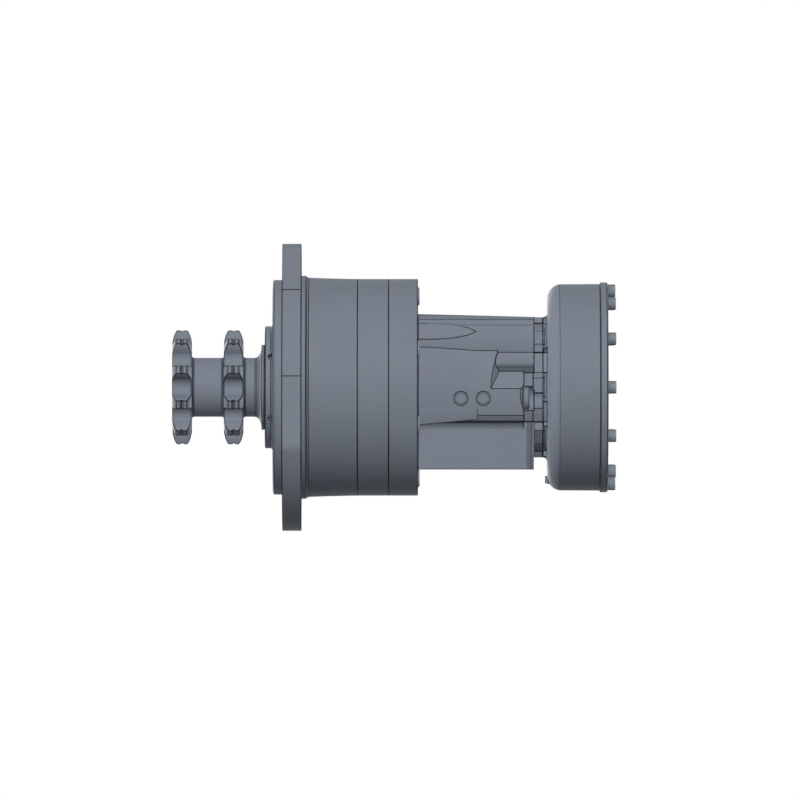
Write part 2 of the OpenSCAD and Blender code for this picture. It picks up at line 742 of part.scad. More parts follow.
// Stationary valve that feeds the cylinder block, with one port for each flank of a lobe
module distributor() {
    r = distributor_r;
    x = distributor_steps;
    color(steel) difference() {
        lathe([[distributor_bore_r, x[0]], [r[0], x[0]], [r[0], x[1] - 0.3], [r[1], x[1] - 0.3],
            [r[1], x[2] - 0.3], [r[2], x[2] - 0.3], [r[2], x[3] - 0.5], [distributor_bore_r, x[3] - 0.5]]);
        for (half = [0, 1]) around(cam_lobes, half * 180 / cam_lobes) {
            end_x = half == 0 ? x[1] - 5 : x[2] - 5;
            pin(x[0] - past, end_x + 4, block_port_r, block_port_d / 2);
            translate([end_x, 0, 0]) rotate([90, 0, 0]) translate([0, 0, block_port_r])
                cylinder(h = 20, r = 3.5, $fn = 32);
        }
        for (i = [1:2]) tube(x[i] - 10, x[i] - 2.5, r[i - 1] + past, r[i - 1] - 2);
        for (i = [0:2]) tube(x[i] + 3, x[i] + 6, r[i] + past, r[i] - 2);
    }
}

// Rings that seal the distributor's steps in the casting
module distributor_seals() {
    color(rubber) for (i = [0:2])
        let (x = distributor_steps[i], r = distributor_r[i]) tube(x + 3.05, x + 5.95, r, r - 1.95);
}

// Plugs pressed into the ends of the cross drillings
module expander_plugs() {
    color(steel) for (x = witness_plug_x)
        translate([x, spool_y - spool_r - 2.4, boss_z]) rotate([90, 0, 0]) {
            cylinder(h = 1.8, r = witness_plug_r, $fn = 48);
            cylinder(h = 3.1, r = witness_plug_r - 1.5, $fn = 48);
        }
}

// Threaded plug that closes the spool's bore
module spool_plug() {
    inner_x = spool_x + spool_l + 2;
    color(steel) translate([0, spool_y, boss_z]) difference() {
        union() {
            translate([inner_x, 0, 0]) rotate([0, 90, 0])
                cylinder(h = boss_end_x - inner_x + 1, r = spool_r + 0.97, $fn = 64);
            translate([boss_end_x + 0.02, 0, 0]) rotate([0, 90, 0]) rotate_extrude($fn = 72)
                polygon([[0, 0], [spool_plug_r, 0], [spool_plug_r, 4.6], [spool_plug_r - 1, 5.7], [0, 5.7]]);
        }
        translate([boss_end_x - 3, 0, 0]) rotate([0, 90, 0]) cylinder(h = 20, r = 5.8, $fn = 6);
        translate([boss_end_x - 4, 0, 0]) rotate([0, 90, 0]) difference() {
            cylinder(h = 2.4, r = spool_r + 2, $fn = 64);
            cylinder(h = 2.4, r = spool_r - 0.9, $fn = 64);
        }
    }
}

// Ring that seals the spool plug
module spool_plug_seal() {
    color(rubber) translate([boss_end_x - 3.95, spool_y, boss_z]) rotate([0, 90, 0]) difference() {
        cylinder(h = 2.3, r = spool_r + 0.98, $fn = 64);
        translate([0, 0, -past]) cylinder(h = 5, r = spool_r - 0.85, $fn = 64);
    }
}

// Spring that returns the speed spool
module spool_spring() {
    length = spool_x - spool_bore_x - 0.3;
    wire_r = 0.9;
    turns = floor((length - 2 * wire_r) / (2.1 * wire_r));
    color(bright) translate([0, spool_y, boss_z])
        coil(spool_bore_x + 0.1, length, 6.6, wire_r, turns);
}

// Spool that switches the motor between its two speeds
module speed_spool() {
    color(bright) translate([0, spool_y, boss_z]) rotate([0, 90, 0]) rotate_extrude($fn = 72)
        polygon([[0, spool_x + 4], [4, spool_x + 4], [4, spool_x], [spool_r - 1, spool_x],
            [spool_r, spool_x + 1], [spool_r, spool_x + 9], [spool_r - 3, spool_x + 9],
            [spool_r - 3, spool_x + 18], [spool_r, spool_x + 18], [spool_r, spool_x + spool_l - 1],
            [spool_r - 1, spool_x + spool_l], [0, spool_x + spool_l]]);
}

// Housing of the brake, with slots for the lugs of the steel plates
module brake_housing() {
    neck_r = neck_d / 2;
    color(paint) difference() {
        union() {
            lathe(concat([[0, brake_front_x], [brake_r - brake_corner, brake_front_x]],
                arc(brake_r - brake_corner, brake_front_x + brake_corner, brake_corner, 270, 350, 16),
                [[brake_r, cover_x], [0, cover_x]]));
            along_x(casting_end, brake_front_x + past) neck_outline();
            intersection() {
                lathe(concat([[neck_core_r, casting_end + 1]],
                    arc(neck_r + 4.8, casting_end, 4.8, 180, 90, 4),
                    [[neck_r + 4.8, brake_front_x + past], [neck_core_r, brake_front_x + past]]));
                along_x(casting_end, brake_front_x + past) for (i = [0:neck_ribs - 1])
                    rotate(i * 360 / neck_ribs) translate([0, -rib_w / 2]) square([neck_r * 2, rib_w]);
            }
            translate([0, 8, 0]) rotate([90, 0, 0]) linear_extrude(height = 16)
                polygon([[casting_end + 2.6, -91], [casting_end + 2.6, -98.4], [casting_end + 6.7, -99.2],
                    [casting_end + 20, -brake_r + 0.5], [casting_end + 24, -brake_r + 2],
                    [casting_end + 24, -91]]);
        }
        rod(casting_end - past, cover_x + past, brake_shaft_r + 2);
        rod(casting_end - past, casting_end + 8, brake_shaft_r + 8);
        rod(wall_x, cover_x + past, plate_r + 1);
        rod(brake_bore_x, cover_x + past, brake_bore_r);
        rod(cover_x - 1.6, cover_x + past, brake_bore_r + 1.7);
        along_x(wall_x, brake_bore_x + past) for (i = [0:plate_lugs - 1])
            rotate(i * 360 / plate_lugs + 30) translate([0, -plate_lug_w / 2 - loose])
                square([plate_lug_r + loose, plate_lug_w + 2 * loose]);
        around(neck_ribs) {
            pin(casting_end - past, wall_x + past, neck_screw_r, neck_screw_d / 2 + loose);
            pin(wall_x - neck_screw_sink, wall_x + past, neck_screw_r, screw_head_r(neck_screw_d) + 0.5);
        }
        around(cover_screws_n)
            pin(cover_x - 20, cover_x + past, cover_screw_pcd / 2, cover_screw_d / 2 + run_gap);
        rotate([brake_port_turn, 0, 0]) translate([brake_bore_x + 2.4, 0, 0]) rotate([-90, 0, 0]) {
            translate([0, 0, brake_r - 0.6]) port(pilot_port_d, 9, pilot_port_d + 7);
            translate([0, 0, brake_bore_r - 2]) cylinder(h = 10, r = 2, $fn = 24);
        }
    }
}

// Screws from inside the brake housing into the ribs of the neck
module brake_housing_screws() {
    seat_x = wall_x - neck_screw_sink;
    color(steel) around(neck_ribs) translate([0, -neck_screw_r, 0])
        screw(seat_x, seat_x - neck_screw_tip_x, neck_screw_d, -1);
}

// Seal of the brake shaft between the casting and the brake
module brake_shaft_seal() {
    back = casting_end + 0.6;
    outer = brake_shaft_r + 8;
    color(rubber) lathe([[outer, back], [outer, back + 7], [outer - 2, back + 7], [outer - 2, back + 2],
        [brake_shaft_r + 2, back + 2], [brake_shaft_r + 1.6, back + 5], [brake_shaft_r + run_gap, back + 3.5],
        [brake_shaft_r + 1, back]]);
}

// Steel plates of the brake, held by their lugs
module steel_plates() {
    color(steel) for (k = [0:steel_n - 1])
        along_x(pack_x + k * plate_pitch, pack_x + k * plate_pitch + steel_t) difference() {
            union() {
                circle(r = plate_r, $fn = 120);
                for (i = [0:plate_lugs - 1]) rotate(i * 360 / plate_lugs + 30)
                    translate([0, -plate_lug_w / 2]) square([plate_lug_r, plate_lug_w]);
            }
            circle(r = plate_bore_r, $fn = 120);
        }
}

// Friction discs of the brake, carried by the teeth of the brake shaft
module friction_discs() {
    color(bronze) for (k = [0:friction_n - 1])
        let (x = pack_x + steel_t + face_gap + k * plate_pitch) along_x(x, x + friction_t) difference() {
            circle(r = disc_r, $fn = 120);
            spline_outline(hub_spline_teeth, hub_spline_root_r, hub_spline_r, 0.1);
        }
}

// Shaft between the motor and the brake
module brake_shaft() {
    color(steel) {
        rod(brake_spline_end_x - 1, wall_x + past, brake_shaft_r);
        along_x(shaft_end_x - socket_l + 1, brake_spline_end_x)
            spline_outline(brake_spline_teeth, brake_spline_root_r, brake_spline_r);
        along_x(wall_x, brake_shaft_end_x) spline_outline(hub_spline_teeth, hub_spline_root_r, hub_spline_r);
    }
}

// Ring-shaped piston that the oil pushes back to let the brake go
module brake_piston() {
    color(bright) difference() {
        lathe([[spring_in_r - 4, nose_x], [plate_r - 3, nose_x], [plate_r - 3, piston_flange_x],
            [brake_bore_r - 0.05, piston_flange_x], [brake_bore_r - 0.05, piston_end_x],
            [spring_in_r - 4, piston_end_x]]);
        tube(piston_flange_x + 3, piston_flange_x + 6, brake_bore_r + past, brake_bore_r - 2.4);
        tube(brake_bore_x + 0.6, brake_bore_x + 3, plate_r - 5, plate_r - 6);
    }
}

// Sealing ring of the brake piston
module brake_piston_seals() {
    x = piston_flange_x;
    color(rubber) tube(x + 3.05, x + 5.95, brake_bore_r - 0.03, brake_bore_r - 2.3);
}

// Coned spring washer that presses the brake on
module brake_disc_spring() {
    near = piston_end_x + 0.05;
    end = cover_x - 0.05;
    color(bright) lathe([[spring_in_r, near], [spring_in_r + 3, near], [spring_out_r, end - disc_spring_t],
        [spring_out_r, end], [spring_out_r - 3, end], [spring_in_r, near + disc_spring_t]]);
}

// Cover of the brake
module rear_cover() {
    cover_r = cover_d / 2;
    color(paint) difference() {
        lathe([[0, cover_x], [cover_r - 0.6, cover_x], [cover_r, cover_x + 0.6],
            [cover_r, cover_x + cover_t - 1.2], [cover_r - 1.2, cover_x + cover_t], [0, cover_x + cover_t]]);
        around(cover_screws_n)
            pin(cover_x - past, cover_x + cover_t + past, cover_screw_pcd / 2, cover_screw_d / 2 + loose);
    }
}

// Ring that seals the cover
module cover_seal() {
    color(rubber) tube(cover_x - 1.55, cover_x - 0.02, brake_bore_r + 1.65, brake_bore_r + 0.1);
}

// Socket head screws of the cover
module cover_screws() {
    color(steel) around(cover_screws_n) translate([0, -cover_screw_pcd / 2, 0])
        screw(cover_x + cover_t, cover_t + 17, cover_screw_d, -1);
}

// Outline of a sprocket: tooth flanks are arcs about the neighbouring roller seats
module sprocket_outline() {
    step = 360 / sprocket_teeth;
    flank_r = chain_pitch - seat_arc_r;
    difference() {
        union() {
            circle(r = pitch_r * cos(step / 2) + 0.01, $fn = 90);
            for (i = [0:sprocket_teeth - 1]) rotate(90 + i * step) intersection() {
                translate([0, -chain_pitch / 2]) square([tip_r + 5, chain_pitch]);
                rotate(step / 2) translate([pitch_r, 0]) circle(r = flank_r, $fn = 90);
                rotate(-step / 2) translate([pitch_r, 0]) circle(r = flank_r, $fn = 90);
                circle(r = tip_r, $fn = 180);
            }
        }
        for (i = [0:sprocket_teeth - 1]) rotate(90 + (i + 0.5) * step) translate([pitch_r, 0])
            circle(r = seat_arc_r, $fn = 60);
    }
}

// One sprocket: the toothed outline within a turned shape that thins the teeth towards their tips
module sprocket(middle_x) {
    half = sprocket_w / 2;
    side = [[half, tip_r - 11.4], [half - 1.25, tip_r - 5.9], [half - 3.2, tip_r - 1.6], [half - 4.6, tip_r],
        [1.5, tip_r], [0, tip_r - tip_groove]];
    points = concat([[0, half]], [for (p = side) [p[1], p[0]]],
        [for (i = [4:-1:0]) [side[i][1], -side[i][0]]], [[0, -half]]);
    translate([middle_x, 0, 0]) intersection() {
        along_x(-half - past, half + past) sprocket_outline();
        lathe(points);
    }
}

// Output shaft, in one piece with both sprockets
module sprocket_shaft() {
    f = hub_fillet;
    gap_l = inner_sprocket_x - sprocket_w / 2;
    gap_r = outer_sprocket_x + sprocket_w / 2;
    hub_end = inner_sprocket_x + sprocket_w / 2;
    flare = [for (i = [0:8]) let (a = i * 90 / 8)
        [slinger_r - (slinger_r - hub_r) * cos(a), slinger_x - slinger_t - 7 + 7 * sin(a)]];
    color(steel) difference() {
        union() {
            sprocket(outer_sprocket_x);
            sprocket(inner_sprocket_x);
            lathe(concat([[0, shaft_tip_x], [hub_r, shaft_tip_x], [hub_r + f, gap_r]],
                arc(hub_r + f, gap_r + f, f, 270, 180, 4), arc(hub_r + f, gap_l - f, f, 180, 90, 4),
                [[hub_r + f, hub_end]], arc(hub_r + f, hub_end + f, f, 270, 180, 4), flare,
                [[slinger_r, slinger_x], [seal_land_r, slinger_x], [seal_land_r, front_cone_x],
                [seat_r, front_cone_x], [seat_r, front_cup_back_x + 1],
                [seat_r - 0.6, front_cup_back_x + 2], [seat_r - 0.6, rear_cup_back_x - 2],
                [seat_r, rear_cup_back_x - 1], [seat_r, rear_cone_end_x], [seat_r - 0.6, rear_cone_end_x],
                [seat_r - 0.6, rear_cone_end_x + nut_w], [spline_root_r, rear_cone_end_x + nut_w + 1],
                [spline_root_r, shaft_end_x], [0, shaft_end_x]]));
            along_x(block_x - 0.5, shaft_end_x) spline_outline(spline_teeth, spline_root_r, spline_r);
        }
        tube(shaft_end_x - 4.1, shaft_end_x - 1.9, spline_r + 3, spline_r - 2);
        along_x(shaft_end_x - socket_l, shaft_end_x + past)
            spline_outline(brake_spline_teeth, brake_spline_root_r, brake_spline_r, 0.05);
        translate([shaft_tip_x - past, 0, 0]) rotate([0, 90, 0]) cylinder(h = past + 9, r = 6, $fn = 32);
        translate([shaft_tip_x - 0.01, 0, 0]) rotate([0, 90, 0]) cylinder(h = 3, r1 = 9, r2 = 6, $fn = 32);
    }
}

// Slotted nut that sets the bearings' preload
module bearing_locknut() {
    color(steel) difference() {
        tube(rear_cone_end_x + 0.02, rear_cone_end_x + nut_w, nut_r, seat_r - 0.55);
        around(4, 45) translate([rear_cone_end_x - past, -nut_r - 5, -4]) cube([nut_w + 5, 8, 8]);
    }
}

// Cylinder block with its radial bores and a port for each
module cylinder_block() {
    color(bright) difference() {
        lathe([[0, block_x], [block_r - 1, block_x], [block_r, block_x + 1], [block_r, block_end_x - 1],
            [block_r - 1, block_end_x], [0, block_end_x]]);
        along_x(block_x - past, block_end_x + past)
            spline_outline(spline_teeth, spline_root_r, spline_r, 0.05);
        rod(shaft_end_x - 4.2, block_end_x + past, spline_r + 5);
        around(piston_count, piston_turn) {
            translate([cam_mid_x, 0, 0]) rotate([90, 0, 0]) translate([0, 0, bore_floor_r])
                cylinder(h = 60, r = piston_r, $fn = 96);
            pin(cam_mid_x + 10, block_end_x + past, block_port_r, block_port_d / 2);
        }
    }
}

// Ring that keeps the cylinder block on the shaft
module block_circlip() {
    color(steel) difference() {
        tube(shaft_end_x - 4, shaft_end_x - 2, spline_r + 3.5, spline_r - 1.9);
        translate([shaft_end_x - 10, -60, -3]) cube([20, 40, 6]);
    }
}

// Piston with its sealing ring and the seat that its roller turns in
module motor_piston(i) {
    crown = parked_r - piston_skirt;
    top = parked_r + 2.5;
    turn = piston_turn + (i - 1) * 360 / piston_count;
    rotate([turn, 0, 0]) translate([cam_mid_x, 0, 0]) rotate([90, 0, 0]) {
        color(bright) difference() {
            rotate_extrude($fn = 96) polygon([[8, crown], [piston_r - 1.2, crown],
                [piston_r - run_gap, crown + 1], [piston_r - run_gap, crown + 4], [piston_r - 2, crown + 4],
                [piston_r - 2, crown + 6.6], [piston_r - run_gap, crown + 6.6], [piston_r - run_gap, top],
                [0, top], [0, crown + 9], [8, crown + 9]]);
            translate([0, 0, parked_r]) rotate([0, 90, 0]) translate([0, 0, -piston_d])
                cylinder(h = 2 * piston_d, r = roller_r + 0.04, $fn = 96);
        }
        color(bronze) translate([0, 0, crown + 4.05]) difference() {
            cylinder(h = 2.5, r = piston_r - run_gap, $fn = 96);
            translate([0, 0, -past]) cylinder(h = 5, r = piston_r - 1.95, $fn = 96);
        }
    }
}

// Roller that runs on the cam track
module motor_roller(i) {
    edge = 0.6;
    half = roller_l / 2;
    turn = piston_turn + (i - 1) * 360 / piston_count;
    color(steel) rotate([turn, 0, 0]) translate([cam_mid_x, -parked_r, 0]) rotate([0, 90, 0])
        rotate_extrude($fn = 96) polygon([[0, -half], [roller_r - edge, -half], [roller_r, -half + edge],
            [roller_r, half - edge], [roller_r - edge, half], [0, half]]);
}

front_housing();
seal_carrier();
shaft_seal();
front_bearing_cup();
rear_bearing_cup();
cam_ring();
cam_ring_seals();
rear_housing();
body_screws();
distributor();
distributor_seals();
expander_plugs();
spool_plug();
spool_plug_seal();
spool_spring();
brake_housing();
brake_housing_screws();
brake_shaft_seal();
steel_plates();
brake_disc_spring();
rear_cover();
cover_seal();
cover_screws();
sprocket_shaft();
front_bearing_cone();
rear_bearing_cone();
bearing_locknut();
cylinder_block();
block_circlip();
brake_shaft();
friction_discs();
front_bearing_cage();
front_bearing_rollers();
rear_bearing_cage();
rear_bearing_rollers();
brake_piston();
brake_piston_seals();
speed_spool();
motor_piston(1);  // piston_1
motor_piston(2);  // piston_2
motor_piston(3);  // piston_3
motor_piston(4);  // piston_4
motor_piston(5);  // piston_5
motor_piston(6);  // piston_6
motor_piston(7);  // piston_7
motor_piston(8);  // piston_8
motor_roller(1);  // roller_1
motor_roller(2);  // roller_2
motor_roller(3);  // roller_3
motor_roller(4);  // roller_4
motor_roller(5);  // roller_5
motor_roller(6);  // roller_6
motor_roller(7);  // roller_7
motor_roller(8);  // roller_8
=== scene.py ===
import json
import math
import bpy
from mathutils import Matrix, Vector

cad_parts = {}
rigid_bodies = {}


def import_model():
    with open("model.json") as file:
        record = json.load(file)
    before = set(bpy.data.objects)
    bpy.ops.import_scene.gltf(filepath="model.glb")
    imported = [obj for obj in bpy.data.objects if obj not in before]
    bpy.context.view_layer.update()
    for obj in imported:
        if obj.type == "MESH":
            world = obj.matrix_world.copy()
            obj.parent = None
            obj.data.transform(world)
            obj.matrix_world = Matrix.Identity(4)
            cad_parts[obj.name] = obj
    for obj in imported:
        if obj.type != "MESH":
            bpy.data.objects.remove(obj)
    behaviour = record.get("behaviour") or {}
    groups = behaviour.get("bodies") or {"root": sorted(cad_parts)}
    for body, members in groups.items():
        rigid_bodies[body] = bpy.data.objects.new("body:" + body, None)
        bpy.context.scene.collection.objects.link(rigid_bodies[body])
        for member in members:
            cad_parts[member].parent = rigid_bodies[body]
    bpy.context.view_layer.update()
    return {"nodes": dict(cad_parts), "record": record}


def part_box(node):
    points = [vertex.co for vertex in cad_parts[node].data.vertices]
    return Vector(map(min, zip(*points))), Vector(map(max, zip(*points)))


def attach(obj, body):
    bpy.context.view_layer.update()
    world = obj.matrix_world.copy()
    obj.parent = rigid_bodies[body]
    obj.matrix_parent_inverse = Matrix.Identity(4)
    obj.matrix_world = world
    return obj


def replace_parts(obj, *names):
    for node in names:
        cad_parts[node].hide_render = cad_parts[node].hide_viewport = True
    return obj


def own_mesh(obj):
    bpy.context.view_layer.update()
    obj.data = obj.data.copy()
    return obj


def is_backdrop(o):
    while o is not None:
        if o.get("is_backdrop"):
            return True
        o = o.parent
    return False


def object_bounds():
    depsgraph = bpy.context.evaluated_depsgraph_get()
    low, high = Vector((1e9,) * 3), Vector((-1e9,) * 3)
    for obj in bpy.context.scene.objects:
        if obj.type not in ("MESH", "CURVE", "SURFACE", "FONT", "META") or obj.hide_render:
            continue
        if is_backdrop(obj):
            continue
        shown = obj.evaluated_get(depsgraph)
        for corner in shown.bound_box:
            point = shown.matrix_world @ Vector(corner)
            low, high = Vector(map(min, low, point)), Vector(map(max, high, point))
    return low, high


bl_info = {
    "name": "Hydraulic drive motor finish",
    "version": (1, 0, 0),
    "blender": (4, 5, 0),
    "location": "View3D > Sidebar > Motor",
    "description": "Dresses the frame of a hydraulic drive motor and adds its screws, threads and springs",
    "category": "Object",
}

import bmesh
import bpy
import numpy as np
from mathutils import Vector
from mathutils.bvhtree import BVHTree

# Blender's start-up objects go before the frame is loaded
for leftover in list(bpy.data.objects):
    bpy.data.objects.remove(leftover)
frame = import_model()

MM = 0.001
MOUNTS = {mount["name"]: mount for mount in frame["record"]["mounts"]}
SLOTS = {row["node"]: row["material_slot"] for row in frame["record"]["subparts"]}

# The photograph's side in pixels, its millimetres a pixel, and the pixel where the frame's origin stands
PHOTO_SIDE = 800
PIXEL_MM = 1.025
ORIGIN_PIXEL = (282.5, 387.3)

# Painted edge shade: a sharp edge or crease begins to darken where the cosine between its rounded and its
# true normal falls to the first value, and has the painted shade's colour, black, from the second on
EDGE_SHADE_STARTS = 0.9998
EDGE_SHADE_FULL = 0.9968
EDGE_SHADE_COLOUR = [0.0, 0.0, 0.0, 1.0]

# The shaft runs along X. A circle of screws is given by their number, and the body's starts half a step round
SHAFT_AXIS = np.array([1.0, 0.0, 0.0])
COVER_SCREWS = 12
BODY_SCREWS = 8
BODY_SCREWS_START = 22.5

# The threads: from the port's face to the first ridge, and from the last ridge to the bore's end
THREAD_LEAD_MM = 1.2
THREAD_TAIL_MM = 1.4

# The springs inside: the coil's mean radius, its wire and turns, and the disc's width and thickness
SPOOL_COIL_R = 6.6 * MM
SPOOL_WIRE_R = 0.9 * MM
SPOOL_TURNS = 5
DISC_SPRING_WIDTH = 23.0 * MM
DISC_SPRING_THICK = 2.4 * MM

# The pad: its start just behind the motor flange, its tip, its middle's height, half its width, the wall that
# it rises over, and its root in the casting
PAD_START = 139.0 * MM
PAD_TIP = 198.7 * MM
PAD_MIDDLE_Z = 57.1 * MM
PAD_HALF_WIDTH = 8.6 * MM
PAD_WALL = 0.5 * MM
PAD_SINK = 0.6 * MM

# The skirt: its ends along the shaft, its top on the broad front and how deep that starts, its lower edge at
# either end, and its root in the casting
SKIRT_START = 139.0 * MM
SKIRT_END = 199.8 * MM
SKIRT_TOP = -20.2 * MM
SKIRT_START_DEPTH = 0.12 * MM
SKIRT_LOW_START = -38.6 * MM
SKIRT_LOW_END = -33.0 * MM
SKIRT_SINK = 0.8 * MM

# The floor: how far it lies below the object, its side, how brightly it shows, and where it fades out
FLOOR_DROP = 0.30
FLOOR_SIZE = 2.0
FLOOR_GLOW = 0.8
FLOOR_FADES = (0.35, 0.98)


def linear(hex_colour):
    """An sRGB hex value as the linear colour with alpha that a shader socket takes."""
    parts = [int(hex_colour[i : i + 2], 16) / 255 for i in (1, 3, 5)]
    return [p / 12.92 if p <= 0.04045 else ((p + 0.055) / 1.055) ** 2.4 for p in parts] + [1.0]


def per_metre(size_mm):
    """The texture scale at which one period of a pattern measures size_mm: one over that size in metres."""
    return 1 / (size_mm * MM)


# Materials


def add(tree, kind, links=(), **settings):
    """Adds a node with its settings and its links.

    A setting is an attribute of the node or, by its name with _ for a space, an input's value. A link is an
    input of the node and the output that feeds it.
    """
    made = tree.nodes.new(kind)
    for name, value in settings.items():
        if hasattr(made, name):
            setattr(made, name, value)
        else:
            made.inputs[name.replace("_", " ")].default_value = value
    for key, output in links:
        tree.links.new(output, made.inputs[key])
    return made


def new_material(name, rough, metallic=0.0, specular=0.5):
    """A node material with its Principled shader joined to the output, and its Object coordinates."""
    material = bpy.data.materials.new(name)
    material.use_nodes = True
    tree = material.node_tree
    tree.nodes.clear()
    shader = add(tree, "ShaderNodeBsdfPrincipled", Roughness=rough, Metallic=metallic,
                 Specular_IOR_Level=specular)
    add(tree, "ShaderNodeOutputMaterial", [("Surface", shader.outputs["BSDF"])])
    place = add(tree, "ShaderNodeTexCoord").outputs["Object"]
    return material, tree, shader, place


def painted_edge_shade(tree, edge_shade_mm):
    """Painted shade on sharp edges and creases: 1 there, 0 away, by how far a normal rounded over
    edge_shade_mm departs from the true one.
    """
    rounded = add(tree, "ShaderNodeBevel", samples=8, Radius=edge_shade_mm * MM)
    plain = add(tree, "ShaderNodeNewGeometry")
    normals = [(0, rounded.outputs["Normal"]), (1, plain.outputs["Normal"])]
    same = add(tree, "ShaderNodeVectorMath", normals, operation="DOT_PRODUCT")
    mask = add(tree, "ShaderNodeMapRange", [("Value", same.outputs["Value"])],
               interpolation_type="SMOOTHSTEP", From_Min=EDGE_SHADE_STARTS, From_Max=EDGE_SHADE_FULL)
    return mask.outputs["Result"]


def toned(tree, place, colour, drift_mm, drift, edge_shade_mm):
    """The finish's colour: a soft noise over drift_mm shifts its tone by a share, and painted shade darkens
    its sharp edges and creases.
    """
    noise = add(tree, "ShaderNodeTexNoise", [("Vector", place)], Scale=per_metre(drift_mm), Detail=3.0,
                Roughness=0.55)
    tone = add(tree, "ShaderNodeMapRange", [("Value", noise.outputs["Fac"])], From_Min=0.3, From_Max=0.7,
               To_Min=1 - drift, To_Max=1 + drift)
    shade = add(tree, "ShaderNodeVectorMath", [("Scale", tone.outputs["Result"])], operation="SCALE")
    shade.inputs[0].default_value = colour[:3]
    # Painted shade: black mixed into the colour along sharp edges and creases
    mixed = add(tree, "ShaderNodeMix", [(0, painted_edge_shade(tree, edge_shade_mm)), (6, shade.outputs["Vector"])],
                data_type="RGBA")
    mixed.inputs[7].default_value = EDGE_SHADE_COLOUR
    return mixed.outputs[2]


def grained(size_mm, height_mm):
    """Gives the function that makes the normals of a fine grain, size_mm across and height_mm deep."""
    def normals(tree, place):
        grain = add(tree, "ShaderNodeTexNoise", [("Vector", place)], Scale=per_metre(size_mm), Detail=2.0)
        bump = add(tree, "ShaderNodeBump", [("Height", grain.outputs["Fac"])], Strength=1.0,
                   Distance=height_mm * MM)
        return bump.outputs["Normal"]
    return normals


def turned(radian_mm, height_mm):
    """Gives the function that makes the normals of a lathe tool's rings, radian_mm to a radian of their wave.

    Blender's wave has twenty radians to a unit of its scale, hence the twentieth. So the rings lie 2 pi times
    radian_mm apart along the shaft axis, coarser than a real tool's, because those are too fine to show.
    """
    def normals(tree, place):
        rings = add(tree, "ShaderNodeTexWave", [("Vector", place)], bands_direction="X",
                    Scale=per_metre(radian_mm) / 20, Distortion=0.8, Detail=1.0)
        bump = add(tree, "ShaderNodeBump", [("Height", rings.outputs["Fac"])], Strength=0.6,
                   Distance=height_mm * MM)
        return bump.outputs["Normal"]
    return normals


def finish(name, colour, rough, normals, metallic=0.0, specular=0.5, drift_mm=24, drift=0.03, edge_shade_mm=0.7):
    """A finish from its colour, its gloss, the function that gives its normals and the width of its painted
    edge shade.
    """
    _, tree, shader, place = new_material(name, rough, metallic, specular)
    tree.links.new(toned(tree, place, colour, drift_mm, drift, edge_shade_mm), shader.inputs["Base Color"])
    tree.links.new(normals(tree, place), shader.inputs["Normal"])


def make_finishes(settings):
    """Makes the motor's finishes, unless an operator before has made them."""
    if "slate_enamel_on_cast_iron" in bpy.data.materials:
        return
    slate = list(settings.enamel)
    # The width of the painted shade drawn along sharp edges and creases
    line = settings.edge_shade_mm
    # Sprayed enamel over cast iron: an even slate grey without glare, the casting's grain just showing
    finish("slate_enamel_on_cast_iron", slate, 0.6, grained(1.6, 0.02), specular=0.08, drift_mm=40,
           drift=0.025, edge_shade_mm=line)
    # Enamel over turned steel: the same grey, a little smoother, with the lathe's rings faint under it
    finish("slate_enamel_on_turned_steel", slate, 0.55, turned(1.2, 0.008), specular=0.08, drift=0.02,
           edge_shade_mm=line * 1.2)
    # Enamel over the small pressed plugs: as on the castings, with a narrower painted edge shade
    finish("slate_enamel_on_pressed_steel", slate, 0.55, grained(0.8, 0.01), specular=0.08, edge_shade_mm=0.45)
    # Zinc flake on screws: a dry silver grey, close to the enamel in tone
    finish("zinc_flake_on_steel", linear("#8D949C"), 0.55, grained(0.5, 0.01), metallic=0.1, specular=0.2,
           edge_shade_mm=0.3)
    # Ground bearing and valve steel: bright, with fine rings and an oily gloss
    finish("ground_bearing_steel", linear("#B4B9BE"), 0.24, turned(0.5, 0.002), metallic=1.0, edge_shade_mm=0.4)
    # Lapped steel of the pistons, rollers, block and plates inside: bright and without rings
    finish("lapped_steel", linear("#A6ABB0"), 0.3, grained(0.6, 0.003), metallic=1.0, edge_shade_mm=0.4)
    # Nitrile rubber: near black and dull, with a fine moulded skin
    finish("moulded_nitrile_rubber", linear("#26282A"), 0.75, grained(0.7, 0.01), specular=0.35, drift=0.08,
           edge_shade_mm=0.3)
    # Machined cage brass: warm yellow with a soft sheen
    finish("machined_cage_brass", linear("#B08D4F"), 0.32, grained(0.7, 0.004), metallic=1.0, edge_shade_mm=0.4)
    # Sintered bronze friction lining: porous, brown and matte
    finish("sintered_friction_lining", linear("#6E5B41"), 0.85, grained(0.9, 0.05), drift_mm=3, drift=0.2,
           edge_shade_mm=0.4)
    # Shot-peened spring steel: dark grey with a satin surface
    finish("peened_spring_steel", linear("#6A6F75"), 0.42, grained(0.5, 0.01), metallic=0.9, edge_shade_mm=0.3)


def dress(material_name, *nodes):
    """Gives CAD nodes a finish through their material slots."""
    for node in nodes:
        mesh = frame["nodes"][node].data
        for i in range(len(mesh.materials)):
            mesh.materials[i] = bpy.data.materials[material_name]


# Meshes


def surface(name, points, faces, material_name, sharp_deg=32):
    """A new piece of the housing from its points and faces, smooth but for edges sharper than sharp_deg.

    Points that fall together at a pole are merged, and every face is turned outwards.
    """
    mesh = bpy.data.meshes.new(name)
    mesh.from_pydata(points.tolist(), [], faces)
    mesh.validate()
    mesh.shade_smooth()
    work = bmesh.new()
    work.from_mesh(mesh)
    bmesh.ops.remove_doubles(work, verts=work.verts, dist=1e-7)
    bmesh.ops.dissolve_degenerate(work, edges=work.edges, dist=1e-8)
    bmesh.ops.recalc_face_normals(work, faces=work.faces)
    work.to_mesh(mesh)
    work.free()
    mesh.set_sharp_from_angle(angle=math.radians(sharp_deg))
    mesh.materials.append(bpy.data.materials[material_name])
    piece = bpy.data.objects.new(name, mesh)
    bpy.context.scene.collection.objects.link(piece)
    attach(piece, "housing")
    return piece


